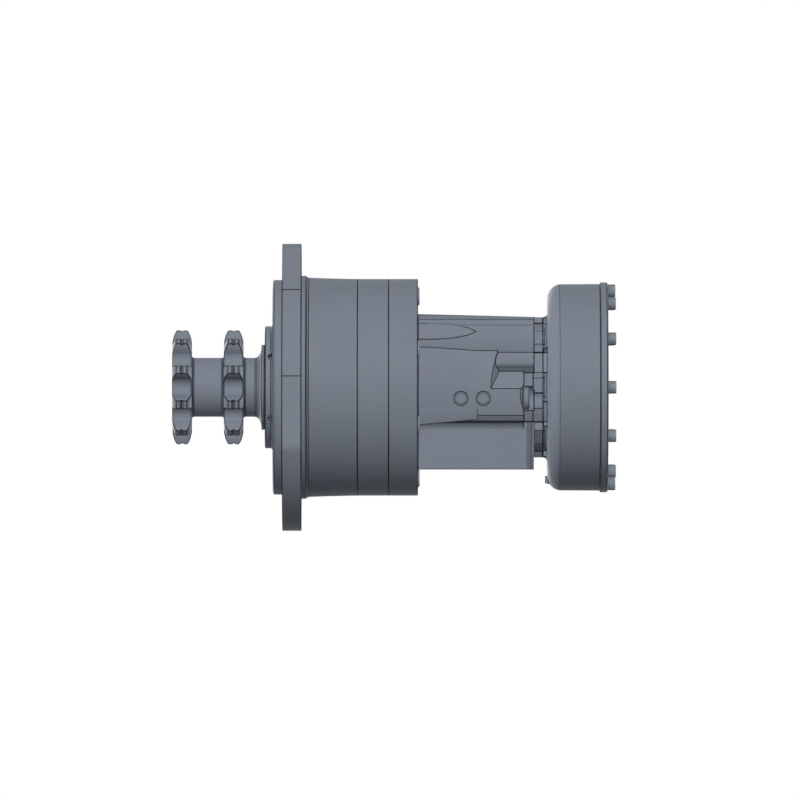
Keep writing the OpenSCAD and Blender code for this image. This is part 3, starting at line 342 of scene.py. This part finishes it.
def grid_faces(rows, columns):
    """Quads between the points of a grid stored row by row, whose last column joins its first.

    Each quad's corners are a point, the one below it, and their neighbours in the next column.
    """
    i, j = np.meshgrid(np.arange(rows - 1), np.arange(columns), indexing="ij")
    k = (j + 1) % columns
    above, below = i * columns, (i + 1) * columns
    return np.stack([above + j, below + j, below + k, above + k], axis=-1).reshape(-1, 4).tolist()


def capped_faces(rows, columns):
    """The quads of such a grid, and a flat face over its first row and over its last."""
    last = (rows - 1) * columns
    ends = [list(range(columns)), list(range(last, last + columns))[::-1]]
    return grid_faces(rows, columns) + ends


def lathe_frame(axis):
    """Two directions at right angles to an axis, so that first x second is the axis."""
    axis = np.asarray(axis, float)
    first = np.cross([0.0, 0.0, 1.0] if abs(axis[2]) < 0.9 else [0.0, 1.0, 0.0], axis)
    first /= np.linalg.norm(first)
    return first, np.cross(axis, first)


def cap_screw_points(d, head_h, head_r, shank_l):
    """Grid of a socket head screw: rows of points, each along its axis and in two directions across it.

    A row is a ring at one distance along the axis, from the shank's end to the socket's bottom. Its radius is
    that of a circle or, in the socket, of a hexagon: half its width across flats over the cosine of the angle
    to the nearest flat's middle. On the head's side the radius dips in the valleys of a straight knurl, as
    the absolute cosine of the angle.
    """
    around = 120
    angle = np.arange(around) * 2 * np.pi / around
    flat = 0.375 * d
    to_flat = (angle + np.pi / 6) % (np.pi / 3) - np.pi / 6
    hexagon = flat / np.cos(to_flat)
    knurl = -0.03 * head_r * np.abs(np.cos(angle * around / 4))
    c = 0.055 * d
    # Distance along the axis, radius or share of the hexagon's, 1 in the socket, 1 on the knurl
    rows = [
        (-shank_l, 0.0, 0, 0), (-shank_l, 0.42 * d, 0, 0), (-shank_l + 0.08 * d, 0.5 * d, 0, 0),
        (-0.06 * d, 0.5 * d, 0, 0), (0, 0.56 * d, 0, 0), (0, head_r - c, 0, 0),
        (0.5 * c, head_r - 0.3 * c, 0, 0), (c, head_r, 0, 0),
        (1.6 * c, head_r, 0, 1), (head_h - 3.2 * c, head_r, 0, 1),
        (head_h - 2.6 * c, head_r, 0, 0), (head_h - 2.0 * c, head_r, 0, 0),
        (head_h - 0.6 * c, head_r - 0.35 * c, 0, 0), (head_h, head_r - 1.3 * c, 0, 0),
        (head_h, flat * 1.24, 0, 0), (head_h - 0.5 * c, flat * 1.12, 0, 0),
        (head_h - 1.2 * c, 1.0, 1, 0), (0.48 * head_h, 1.0, 1, 0), (0.40 * head_h, 0.5, 1, 0),
        (0.34 * head_h, 0.0, 0, 0),
    ]
    along = np.array([row[0] for row in rows])[:, None] + 0 * angle
    radius = np.array([row[2] * hexagon * row[1] + (1 - row[2]) * row[1] + row[3] * knurl for row in rows])
    return np.stack([along, radius * np.cos(angle), radius * np.sin(angle)], axis=-1)


def ring_of_seats(count, x, radius, start_deg):
    """Points evenly about the shaft axis at one x: -radius times the angle's cosine and sine are y and z."""
    angle = np.radians(start_deg) + 2 * np.pi * np.arange(count) / count
    return np.stack([np.full(count, x), -radius * np.cos(angle), -radius * np.sin(angle)], axis=-1)


def cap_screws(name, node, d, count, start_deg=0.0):
    """Knurled socket head screws in a circle about the shaft, standing for a CAD node that holds such screws.

    The node's box gives the heads' top, the shanks' end and how far out the heads reach: along Z that is the
    circle's radius times the cosine of its start, plus a head's radius. Each screw is the same grid, moved to
    its seat under the head.
    """
    low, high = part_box(node)
    head_r = 0.625 * d + 1.5 * MM
    radius = (high[2] - head_r) / math.cos(math.radians(start_deg))
    seats = ring_of_seats(count, high[0] - d, radius, start_deg)
    grid = cap_screw_points(d, d, head_r, high[0] - d - low[0])
    one = grid.reshape(-1, 3) @ np.stack([SHAFT_AXIS, *lathe_frame(SHAFT_AXIS)])
    points = np.concatenate([one + seat for seat in seats])
    faces = np.asarray(grid_faces(*grid.shape[:2]))
    all_faces = np.concatenate([faces + i * len(one) for i in range(len(seats))]).tolist()
    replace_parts(surface(name, points, all_faces, "zinc_flake_on_steel"), node)


def thread(name, mount, pitch_mm):
    """The thread in a port: a ridge of triangular section that winds down the bore.

    A point goes round the bore's axis at the bore's radius less the ridge's height, and down by one pitch a
    turn. The height is 0.6 of the pitch and grows from almost nothing over the first and last third of a
    turn.
    """
    radius = mount["dims"]["r_mm"] * MM
    length = mount["dims"]["length_mm"] * MM
    pitch = pitch_mm * MM
    per_turn = 64
    turns = (length - (THREAD_LEAD_MM + THREAD_TAIL_MM) * MM) / pitch
    t = np.linspace(0, turns, int(turns * per_turn) + 1)
    grow = np.clip(np.minimum(t, turns - t) * 3, 0.02, 1)
    height = 0.6 * pitch * grow
    angle = 2 * np.pi * t
    inward = -np.asarray(mount["axis"], float)
    first, second = lathe_frame(inward)
    ring = np.cos(angle)[:, None] * first + np.sin(angle)[:, None] * second
    start = np.asarray(mount["pos_m"], float)
    # The ridge's section: pitches along the bore, and a depth in the wall in tenths of a millimetre (above 0)
    # or a share of the ridge's height inwards (below 0)
    corners = [(-0.46, 0.12), (-0.06, -1.0), (0.06, -1.0), (0.46, 0.12)]
    rows = []
    for along, out in corners:
        depth = THREAD_LEAD_MM * MM + 0.5 * pitch + t * pitch + along * pitch
        r = radius + np.where(out > 0, out * 0.1 * MM, out * height)
        rows.append(start + depth[:, None] * inward + r[:, None] * ring)
    points = np.stack(rows, axis=1).reshape(-1, 3)
    faces = capped_faces(len(t), len(corners))
    surface(name, points, faces, "slate_enamel_on_turned_steel")


def spring(name, node, grid, faces):
    """A spring that stands for its node: a piece of peened spring steel from its grid and faces, with a mesh
    of its own.
    """
    piece = surface(name, grid.reshape(-1, 3), faces, "peened_spring_steel", 60)
    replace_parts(piece, node)
    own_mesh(piece)


def coned_disc_points(near_x, end_x, in_r, out_r, thick):
    """Grid of a coned disc spring: a strip slanted from its inner to its outer edge, turned about X.

    The strip's outline is a half circle of the thickness about the middle of either edge, joined by straight
    lines. Its second half is the first turned round. The last row lies on the first and closes the ring.
    """
    half, arc, around = thick / 2, 12, 144
    inner = np.array([near_x + half, in_r + half])
    outer = np.array([end_x - half, out_r - half])
    lean = math.atan2(outer[1] - inner[1], outer[0] - inner[0])
    turn = np.linspace(np.pi / 2, 3 * np.pi / 2, arc) + lean
    bow = half * np.stack([np.cos(turn), np.sin(turn)], axis=-1)
    outline = np.concatenate([inner + bow, outer - bow])
    angle = 2 * np.pi * np.append(np.arange(around), 0)[:, None] / around
    x = outline[:, 0] + 0 * angle
    return np.stack([x, outline[:, 1] * np.cos(angle), outline[:, 1] * np.sin(angle)], axis=-1)


def wire_coil_points(low, high, coil_r, wire_r, turns):
    """Grid of a compression spring of round wire in a box: a circle carried along a helix about X.

    The end turns lie flat: over the first and last 0.75 of a turn the wire advances by a little more than its
    own width a turn, and between them evenly by what is left of the length.
    """
    per_turn, sides = 48, 14
    t = np.linspace(0, turns, turns * per_turn + 1)
    ends = 0.75
    rise = np.clip((t - ends) / (turns - 2 * ends), 0, 1)
    end_rise = 2 * wire_r * 1.04 * ends
    middle = (np.array(low) + np.array(high)) / 2
    x = low[0] + wire_r + np.minimum(t, ends) * (end_rise / ends)
    x = x + rise * (high[0] - low[0] - 2 * wire_r - 2 * end_rise)
    x = x + np.clip(t - (turns - ends), 0, ends) * (end_rise / ends)
    angle = 2 * np.pi * t[:, None]
    around = 2 * np.pi * np.arange(sides) / sides
    radial = coil_r + wire_r * np.cos(around)
    return np.stack([
        x[:, None] + wire_r * np.sin(around),
        middle[1] + np.cos(angle) * radial,
        middle[2] + np.sin(angle) * radial,
    ], axis=-1)


def casting_front(x, z):
    """The y at which rays along +Y first meet the rear housing, for arrays of x and z."""
    mesh = frame["nodes"]["rear_housing"].data
    corners = [tuple(v.co) for v in mesh.vertices]
    tree = BVHTree.FromPolygons(corners, [tuple(p.vertices) for p in mesh.polygons])
    return np.array([
        [tree.ray_cast(Vector((a, -1.0, b)), Vector((0.0, 1.0, 0.0)))[0].y for a, b in zip(*row)]
        for row in zip(x, z)
    ])


def casting_piece(name, grid):
    """An enamelled piece of the casting from loops of points, one loop to a row, with flat ends."""
    faces = capped_faces(*grid.shape[:2])
    surface(name, grid.reshape(-1, 3), faces, "slate_enamel_on_cast_iron", 25)


# Stage


def ray_that_sees(tree):
    """1 for rays from the camera and for mirror or glass rays, 0 for the rays that gather light."""
    path = add(tree, "ShaderNodeLightPath")
    seen = path.outputs["Is Camera Ray"]
    for other in ("Is Glossy Ray", "Is Transmission Ray"):
        either = add(tree, "ShaderNodeMath", [(0, seen), (1, path.outputs[other])], operation="MAXIMUM")
        seen = either.outputs[0]
    return seen


def make_floor():
    """A pale floor, a square below the object that fades out before its edges and shows from above alone.

    It lies too low for the photograph's view to reach. Its fade is a smooth step of the distance from its
    middle.
    """
    low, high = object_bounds()
    half = FLOOR_SIZE / 2
    x, y, z = (low[0] + high[0]) / 2, 0.0, low[2] - FLOOR_DROP
    corners = [(x + a * half, y + b * half, z) for a, b in ((-1, -1), (1, -1), (1, 1), (-1, 1))]
    mesh = bpy.data.meshes.new("floor")
    mesh.from_pydata(corners, [], [(0, 1, 2, 3)])
    floor = bpy.data.objects.new("floor", mesh)
    bpy.context.scene.collection.objects.link(floor)
    floor.visible_diffuse = False
    material, tree, shader, place = new_material("pale_matte_floor", 0.9, specular=0.1)
    shader.inputs["Base Color"].default_value = linear("#F4F4F4")
    glow = add(tree, "ShaderNodeEmission", Color=(1, 1, 1, 1), Strength=1.0)
    share = add(tree, "ShaderNodeMath", [(0, ray_that_sees(tree))], operation="MULTIPLY")
    share.inputs[1].default_value = FLOOR_GLOW
    pale = add(tree, "ShaderNodeMixShader",
               [(0, share.outputs[0]), (1, shader.outputs["BSDF"]), (2, glow.outputs[0])])
    below = add(tree, "ShaderNodeNewGeometry").outputs["Backfacing"]
    offset = add(tree, "ShaderNodeVectorMath", [(0, place)], operation="SUBTRACT")
    offset.inputs[1].default_value = (x, y, z)
    away = add(tree, "ShaderNodeVectorMath", [(0, offset.outputs["Vector"])], operation="LENGTH")
    fade = add(tree, "ShaderNodeMapRange", [("Value", away.outputs["Value"])],
               interpolation_type="SMOOTHSTEP", From_Min=FLOOR_FADES[0] * half,
               From_Max=FLOOR_FADES[1] * half)
    unseen = add(tree, "ShaderNodeMath", [(0, below), (1, fade.outputs["Result"])], operation="MAXIMUM")
    clear = add(tree, "ShaderNodeBsdfTransparent")
    faded = add(tree, "ShaderNodeMixShader",
                [(0, unseen.outputs[0]), (1, pale.outputs[0]), (2, clear.outputs["BSDF"])])
    tree.links.new(faded.outputs[0], tree.get_output_node("ALL").inputs["Surface"])
    mesh.materials.append(material)
    floor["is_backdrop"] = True


def make_world(scene, level):
    """Even light from all sides, and plain white where the camera or a mirror looks at it."""
    world = bpy.data.worlds.new("studio")
    scene.world = world
    world.use_nodes = True
    tree = world.node_tree
    tree.nodes.clear()
    ambient = add(tree, "ShaderNodeBackground", Color=(1, 1, 1, 1), Strength=level)
    backdrop = add(tree, "ShaderNodeBackground", Color=(1, 1, 1, 1), Strength=1.0)
    mixed = add(tree, "ShaderNodeMixShader",
                [(0, ray_that_sees(tree)), (1, ambient.outputs[0]), (2, backdrop.outputs[0])])
    add(tree, "ShaderNodeOutputWorld", [("Surface", mixed.outputs[0])])


def sun(name, strength, spread_deg, azimuth, elevation):
    """A sun lamp without shadow, shining from an azimuth, 0 being the viewer's side (-Y), and elevation."""
    light = bpy.data.lights.new(name, "SUN")
    light.energy = strength
    light.angle = math.radians(spread_deg)
    light.use_shadow = False
    lamp = bpy.data.objects.new(name, light)
    bpy.context.scene.collection.objects.link(lamp)
    lamp.rotation_euler = (math.radians(90 - elevation), 0, math.radians(azimuth))


def make_camera(scene):
    """A long lens looking along +Y, so that the view is nearly parallel, as in the photograph.

    It stands off by the frame's width at the object times lens over sensor, opposite the frame's middle.
    """
    data = bpy.data.cameras.new("camera")
    data.sensor_width = 36
    data.lens = 800
    data.clip_start = 1
    data.clip_end = 100
    distance = PHOTO_SIDE * PIXEL_MM * MM * data.lens / data.sensor_width
    camera = bpy.data.objects.new("camera", data)
    scene.collection.objects.link(camera)
    middle = PHOTO_SIDE / 2
    camera.location = ((middle - ORIGIN_PIXEL[0]) * PIXEL_MM * MM, -distance,
                       (ORIGIN_PIXEL[1] - middle) * PIXEL_MM * MM)
    camera.rotation_euler = (math.radians(90), 0, 0)
    scene.camera = camera


# Properties and operators


class MotorSettings(bpy.types.PropertyGroup):
    """Sizes, colours and lights that a user may change"""
    enamel: bpy.props.FloatVectorProperty(
        name="Enamel", description="Colour of the enamel on the castings and the shaft", subtype="COLOR",
        size=3, min=0, max=1, default=linear("#7B828D")[:3])
    # Width of the painted shade drawn in black along sharp edges and creases
    edge_shade_mm: bpy.props.FloatProperty(
        name="Edge line", description="Width in millimetres over which a sharp edge shows darker",
        default=1.25, min=0.1, max=3)
    cover_screw_d: bpy.props.FloatProperty(
        name="Cover screw", description="Thread diameter of the cover's screws", default=8 * MM,
        unit="LENGTH")
    body_screw_d: bpy.props.FloatProperty(
        name="Body screw", description="Thread diameter of the screws through the cam ring",
        default=12 * MM, unit="LENGTH")
    pad_height: bpy.props.FloatProperty(
        name="Pad height", description="Height of the casting's pad at the motor flange", default=1.0 * MM,
        unit="LENGTH")
    skirt_lean: bpy.props.FloatVectorProperty(
        name="Skirt lean", description="Degrees by which the skirt leans back at its top and lower edge",
        size=2, default=(2.0, 18.0))
    main_thread_mm: bpy.props.FloatProperty(
        name="Main port pitch", description="Thread pitch of the two main ports in millimetres",
        default=2.309)
    drain_thread_mm: bpy.props.FloatProperty(
        name="Drain pitch", description="Thread pitch of the case drain port in millimetres", default=1.814)
    pilot_thread_mm: bpy.props.FloatProperty(
        name="Pilot pitch", description="Thread pitch of the two pilot ports in millimetres", default=1.337)
    front_power: bpy.props.FloatProperty(
        name="Front light", description="Strength of the light from the upper front", default=2.12, min=0)
    left_power: bpy.props.FloatProperty(
        name="Left light", description="Strength of the light from the left", default=1.75, min=0)
    back_left_power: bpy.props.FloatProperty(
        name="Back left light", description="Strength of the light from behind on the left", default=1.3,
        min=0)
    back_right_power: bpy.props.FloatProperty(
        name="Back right light", description="Strength of the light from behind on the right", default=1.6,
        min=0)
    room_light: bpy.props.FloatProperty(
        name="Room light", description="Brightness of the even light from all sides", default=0.14, min=0)


class MotorOperator:
    """What all operators of the motor share"""
    bl_options = {"REGISTER", "UNDO"}


class MOTOR_OT_castings(MotorOperator, bpy.types.Operator):
    """Enamel on the five castings"""
    bl_idname = "motor.castings"
    bl_label = "Castings"

    def execute(self, context):
        make_finishes(context.scene.motor)
        dress("slate_enamel_on_cast_iron", "front_housing", "cam_ring", "rear_housing", "brake_housing",
              "rear_cover")
        return {"FINISHED"}


class MOTOR_OT_shaft(MotorOperator, bpy.types.Operator):
    """Enamel on the sprocket shaft and the seal carrier"""
    bl_idname = "motor.shaft"
    bl_label = "Sprocket shaft"

    def execute(self, context):
        make_finishes(context.scene.motor)
        dress("slate_enamel_on_turned_steel", "sprocket_shaft", "seal_carrier")
        return {"FINISHED"}


class MOTOR_OT_inner_pieces(MotorOperator, bpy.types.Operator):
    """Steel, brass, rubber and lining of the pieces inside, and enamel on the plugs"""
    bl_idname = "motor.inner_pieces"
    bl_label = "Inner pieces"

    def execute(self, context):
        make_finishes(context.scene.motor)
        by_slot = {
            "ground_steel": "ground_bearing_steel", "seal_rubber": "moulded_nitrile_rubber",
            "cage_brass": "machined_cage_brass", "friction_lining": "sintered_friction_lining",
            "screw_steel": "zinc_flake_on_steel",
        }
        for node, slot in SLOTS.items():
            if slot in by_slot:
                dress(by_slot[slot], node)
        lapped = [f"{kind}_{i}" for kind in ("piston", "roller") for i in range(1, 9)]
        dress("lapped_steel", "steel_plates", "cylinder_block", *lapped)
        dress("slate_enamel_on_pressed_steel", "expander_plugs", "spool_plug")
        return {"FINISHED"}


class MOTOR_OT_springs(MotorOperator, bpy.types.Operator):
    """Spool spring and brake disc spring"""
    bl_idname = "motor.springs"
    bl_label = "Springs"

    def execute(self, context):
        make_finishes(context.scene.motor)
        low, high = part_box("spool_spring")
        coil = wire_coil_points(low, high, SPOOL_COIL_R, SPOOL_WIRE_R, SPOOL_TURNS)
        spring("spool_coil_spring", "spool_spring", coil, capped_faces(*coil.shape[:2]))
        low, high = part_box("brake_disc_spring")
        disc = coned_disc_points(low[0], high[0], high[2] - DISC_SPRING_WIDTH, high[2], DISC_SPRING_THICK)
        spring("brake_coned_spring", "brake_disc_spring", disc, grid_faces(*disc.shape[:2]))
        return {"FINISHED"}


class MOTOR_OT_cover_screws(MotorOperator, bpy.types.Operator):
    """The cover's knurled socket head screws"""
    bl_idname = "motor.cover_screws"
    bl_label = "Cover screws"

    def execute(self, context):
        make_finishes(context.scene.motor)
        cap_screws("cover_screw_set", "cover_screws", context.scene.motor.cover_screw_d, COVER_SCREWS)
        return {"FINISHED"}


class MOTOR_OT_body_screws(MotorOperator, bpy.types.Operator):
    """The knurled socket head screws through the cam ring"""
    bl_idname = "motor.body_screws"
    bl_label = "Body screws"

    def execute(self, context):
        make_finishes(context.scene.motor)
        cap_screws("body_screw_set", "body_screws", context.scene.motor.body_screw_d, BODY_SCREWS,
                   BODY_SCREWS_START)
        return {"FINISHED"}


class MOTOR_OT_casting_pad(MotorOperator, bpy.types.Operator):
    """The low tongue-shaped pad on the casting's upper front"""
    bl_idname = "motor.casting_pad"
    bl_label = "Casting pad"

    def execute(self, context):
        # Across the pad its height rises over a narrow wall and is flat between the walls. Along it the
        # height falls evenly to a share at the tip. The half width is that of a blunt tongue: its full value
        # times (1 - u^3.2)^0.8, u running to the tip in steps that shorten there.
        make_finishes(context.scene.motor)
        height = context.scene.motor.pad_height
        tip_share = 0.35
        u = 1 - np.linspace(1, 0, 72)[:, None] ** 1.6
        v = np.concatenate([[-1, -0.985], np.linspace(-0.95, 0.95, 27), [0.985, 1]])[None, :]
        half = PAD_HALF_WIDTH * (1 - u**3.2) ** 0.8
        x = PAD_START + (PAD_TIP - PAD_START) * u + 0 * v
        z = PAD_MIDDLE_Z + half * v
        base = casting_front(x, z)
        rise = np.clip((1 - np.abs(v)) * half / PAD_WALL, 0, 1)
        top = np.stack([x, base - rise * height * (tip_share + (1 - tip_share) * (1 - u)), z], axis=-1)
        under = np.stack([x, base + PAD_SINK, z], axis=-1)
        casting_piece("casting_pad", np.concatenate([top, under[:, ::-1]], axis=1))
        return {"FINISHED"}


class MOTOR_OT_casting_skirt(MotorOperator, bpy.types.Operator):
    """The skirt that carries the casting's broad front down to the hollow over the port block"""
    bl_idname = "motor.casting_skirt"
    bl_label = "Casting skirt"

    def execute(self, context):
        # Down the skirt its face leans back by an angle that grows evenly with s, so its y is the start's
        # plus the integral of the angle's tangent, -log(cos) over the growth. The lower edge rises with u.
        make_finishes(context.scene.motor)
        start, end = np.radians(context.scene.motor.skirt_lean)
        u = np.linspace(0, 1, 48)[:, None]
        s = np.linspace(0, 1, 28)[None, :]
        x = SKIRT_START + (SKIRT_END - SKIRT_START) * u
        low = SKIRT_LOW_START + (SKIRT_LOW_END - SKIRT_LOW_START) * u
        z = SKIRT_TOP + (low - SKIRT_TOP) * s
        first = casting_front(x, SKIRT_TOP + 0 * x)
        lean = start + (end - start) * s
        drop = (SKIRT_TOP - low) * np.log(np.cos(start) / np.cos(lean)) / (end - start)
        face = np.stack([x + 0 * s, first + SKIRT_START_DEPTH + drop, z], axis=-1)
        back = np.maximum(casting_front(x, low), face[:, -1:, 1]) + SKIRT_SINK
        ledge = np.stack([x, back, low], axis=-1)
        inner = np.stack([x, back, SKIRT_TOP + 0 * x], axis=-1)
        casting_piece("casting_skirt", np.concatenate([face, ledge, inner], axis=1))
        return {"FINISHED"}


class MOTOR_OT_port_threads(MotorOperator, bpy.types.Operator):
    """The threads in the ports"""
    bl_idname = "motor.port_threads"
    bl_label = "Port threads"

    def execute(self, context):
        settings = context.scene.motor
        make_finishes(settings)
        pitches = {
            "port_a": settings.main_thread_mm, "port_b": settings.main_thread_mm,
            "case_drain": settings.drain_thread_mm, "speed_pilot": settings.pilot_thread_mm,
            "brake_port": settings.pilot_thread_mm,
        }
        for port, pitch in pitches.items():
            thread(f"{port}_thread", MOUNTS[port], pitch)
        return {"FINISHED"}


class MOTOR_OT_stage(MotorOperator, bpy.types.Operator):
    """Floor, lights and camera"""
    bl_idname = "motor.stage"
    bl_label = "Stage"

    def execute(self, context):
        settings = context.scene.motor
        make_floor()
        make_world(context.scene, settings.room_light)
        sun("front_light", settings.front_power, 20, azimuth=0, elevation=27)
        sun("left_light", settings.left_power, 20, azimuth=-75, elevation=7.5)
        sun("back_left_light", settings.back_left_power, 30, azimuth=-160, elevation=3)
        sun("back_right_light", settings.back_right_power, 30, azimuth=135, elevation=3)
        make_camera(context.scene)
        context.scene.view_settings.view_transform = "Standard"
        return {"FINISHED"}


OPERATORS = [
    MOTOR_OT_castings, MOTOR_OT_shaft, MOTOR_OT_inner_pieces, MOTOR_OT_springs, MOTOR_OT_cover_screws,
    MOTOR_OT_body_screws, MOTOR_OT_casting_pad, MOTOR_OT_casting_skirt, MOTOR_OT_port_threads, MOTOR_OT_stage,
]


class MOTOR_PT_panel(bpy.types.Panel):
    """The motor's settings, and a button for each of its operators"""
    bl_idname = "MOTOR_PT_panel"
    bl_label = "Hydraulic drive motor"
    bl_space_type = "VIEW_3D"
    bl_region_type = "UI"
    bl_category = "Motor"

    def draw(self, context):
        for name in MotorSettings.__annotations__:
            self.layout.prop(context.scene.motor, name)
        for operator in OPERATORS:
            self.layout.operator(operator.bl_idname)


def register():
    """Registers the settings, the operators and the panel, and gives the scene its settings."""
    for kind in [MotorSettings, *OPERATORS, MOTOR_PT_panel]:
        bpy.utils.register_class(kind)
    bpy.types.Scene.motor = bpy.props.PointerProperty(type=MotorSettings)


def unregister():
    """Takes back what register does, in reverse."""
    del bpy.types.Scene.motor
    for kind in reversed([MotorSettings, *OPERATORS, MOTOR_PT_panel]):
        bpy.utils.unregister_class(kind)


def main():
    """Makes the whole scene, one operator after the other."""
    register()
    for operator in OPERATORS:
        group, name = operator.bl_idname.split(".")
        getattr(getattr(bpy.ops, group), name)()


if __name__ == "__main__":
    main()
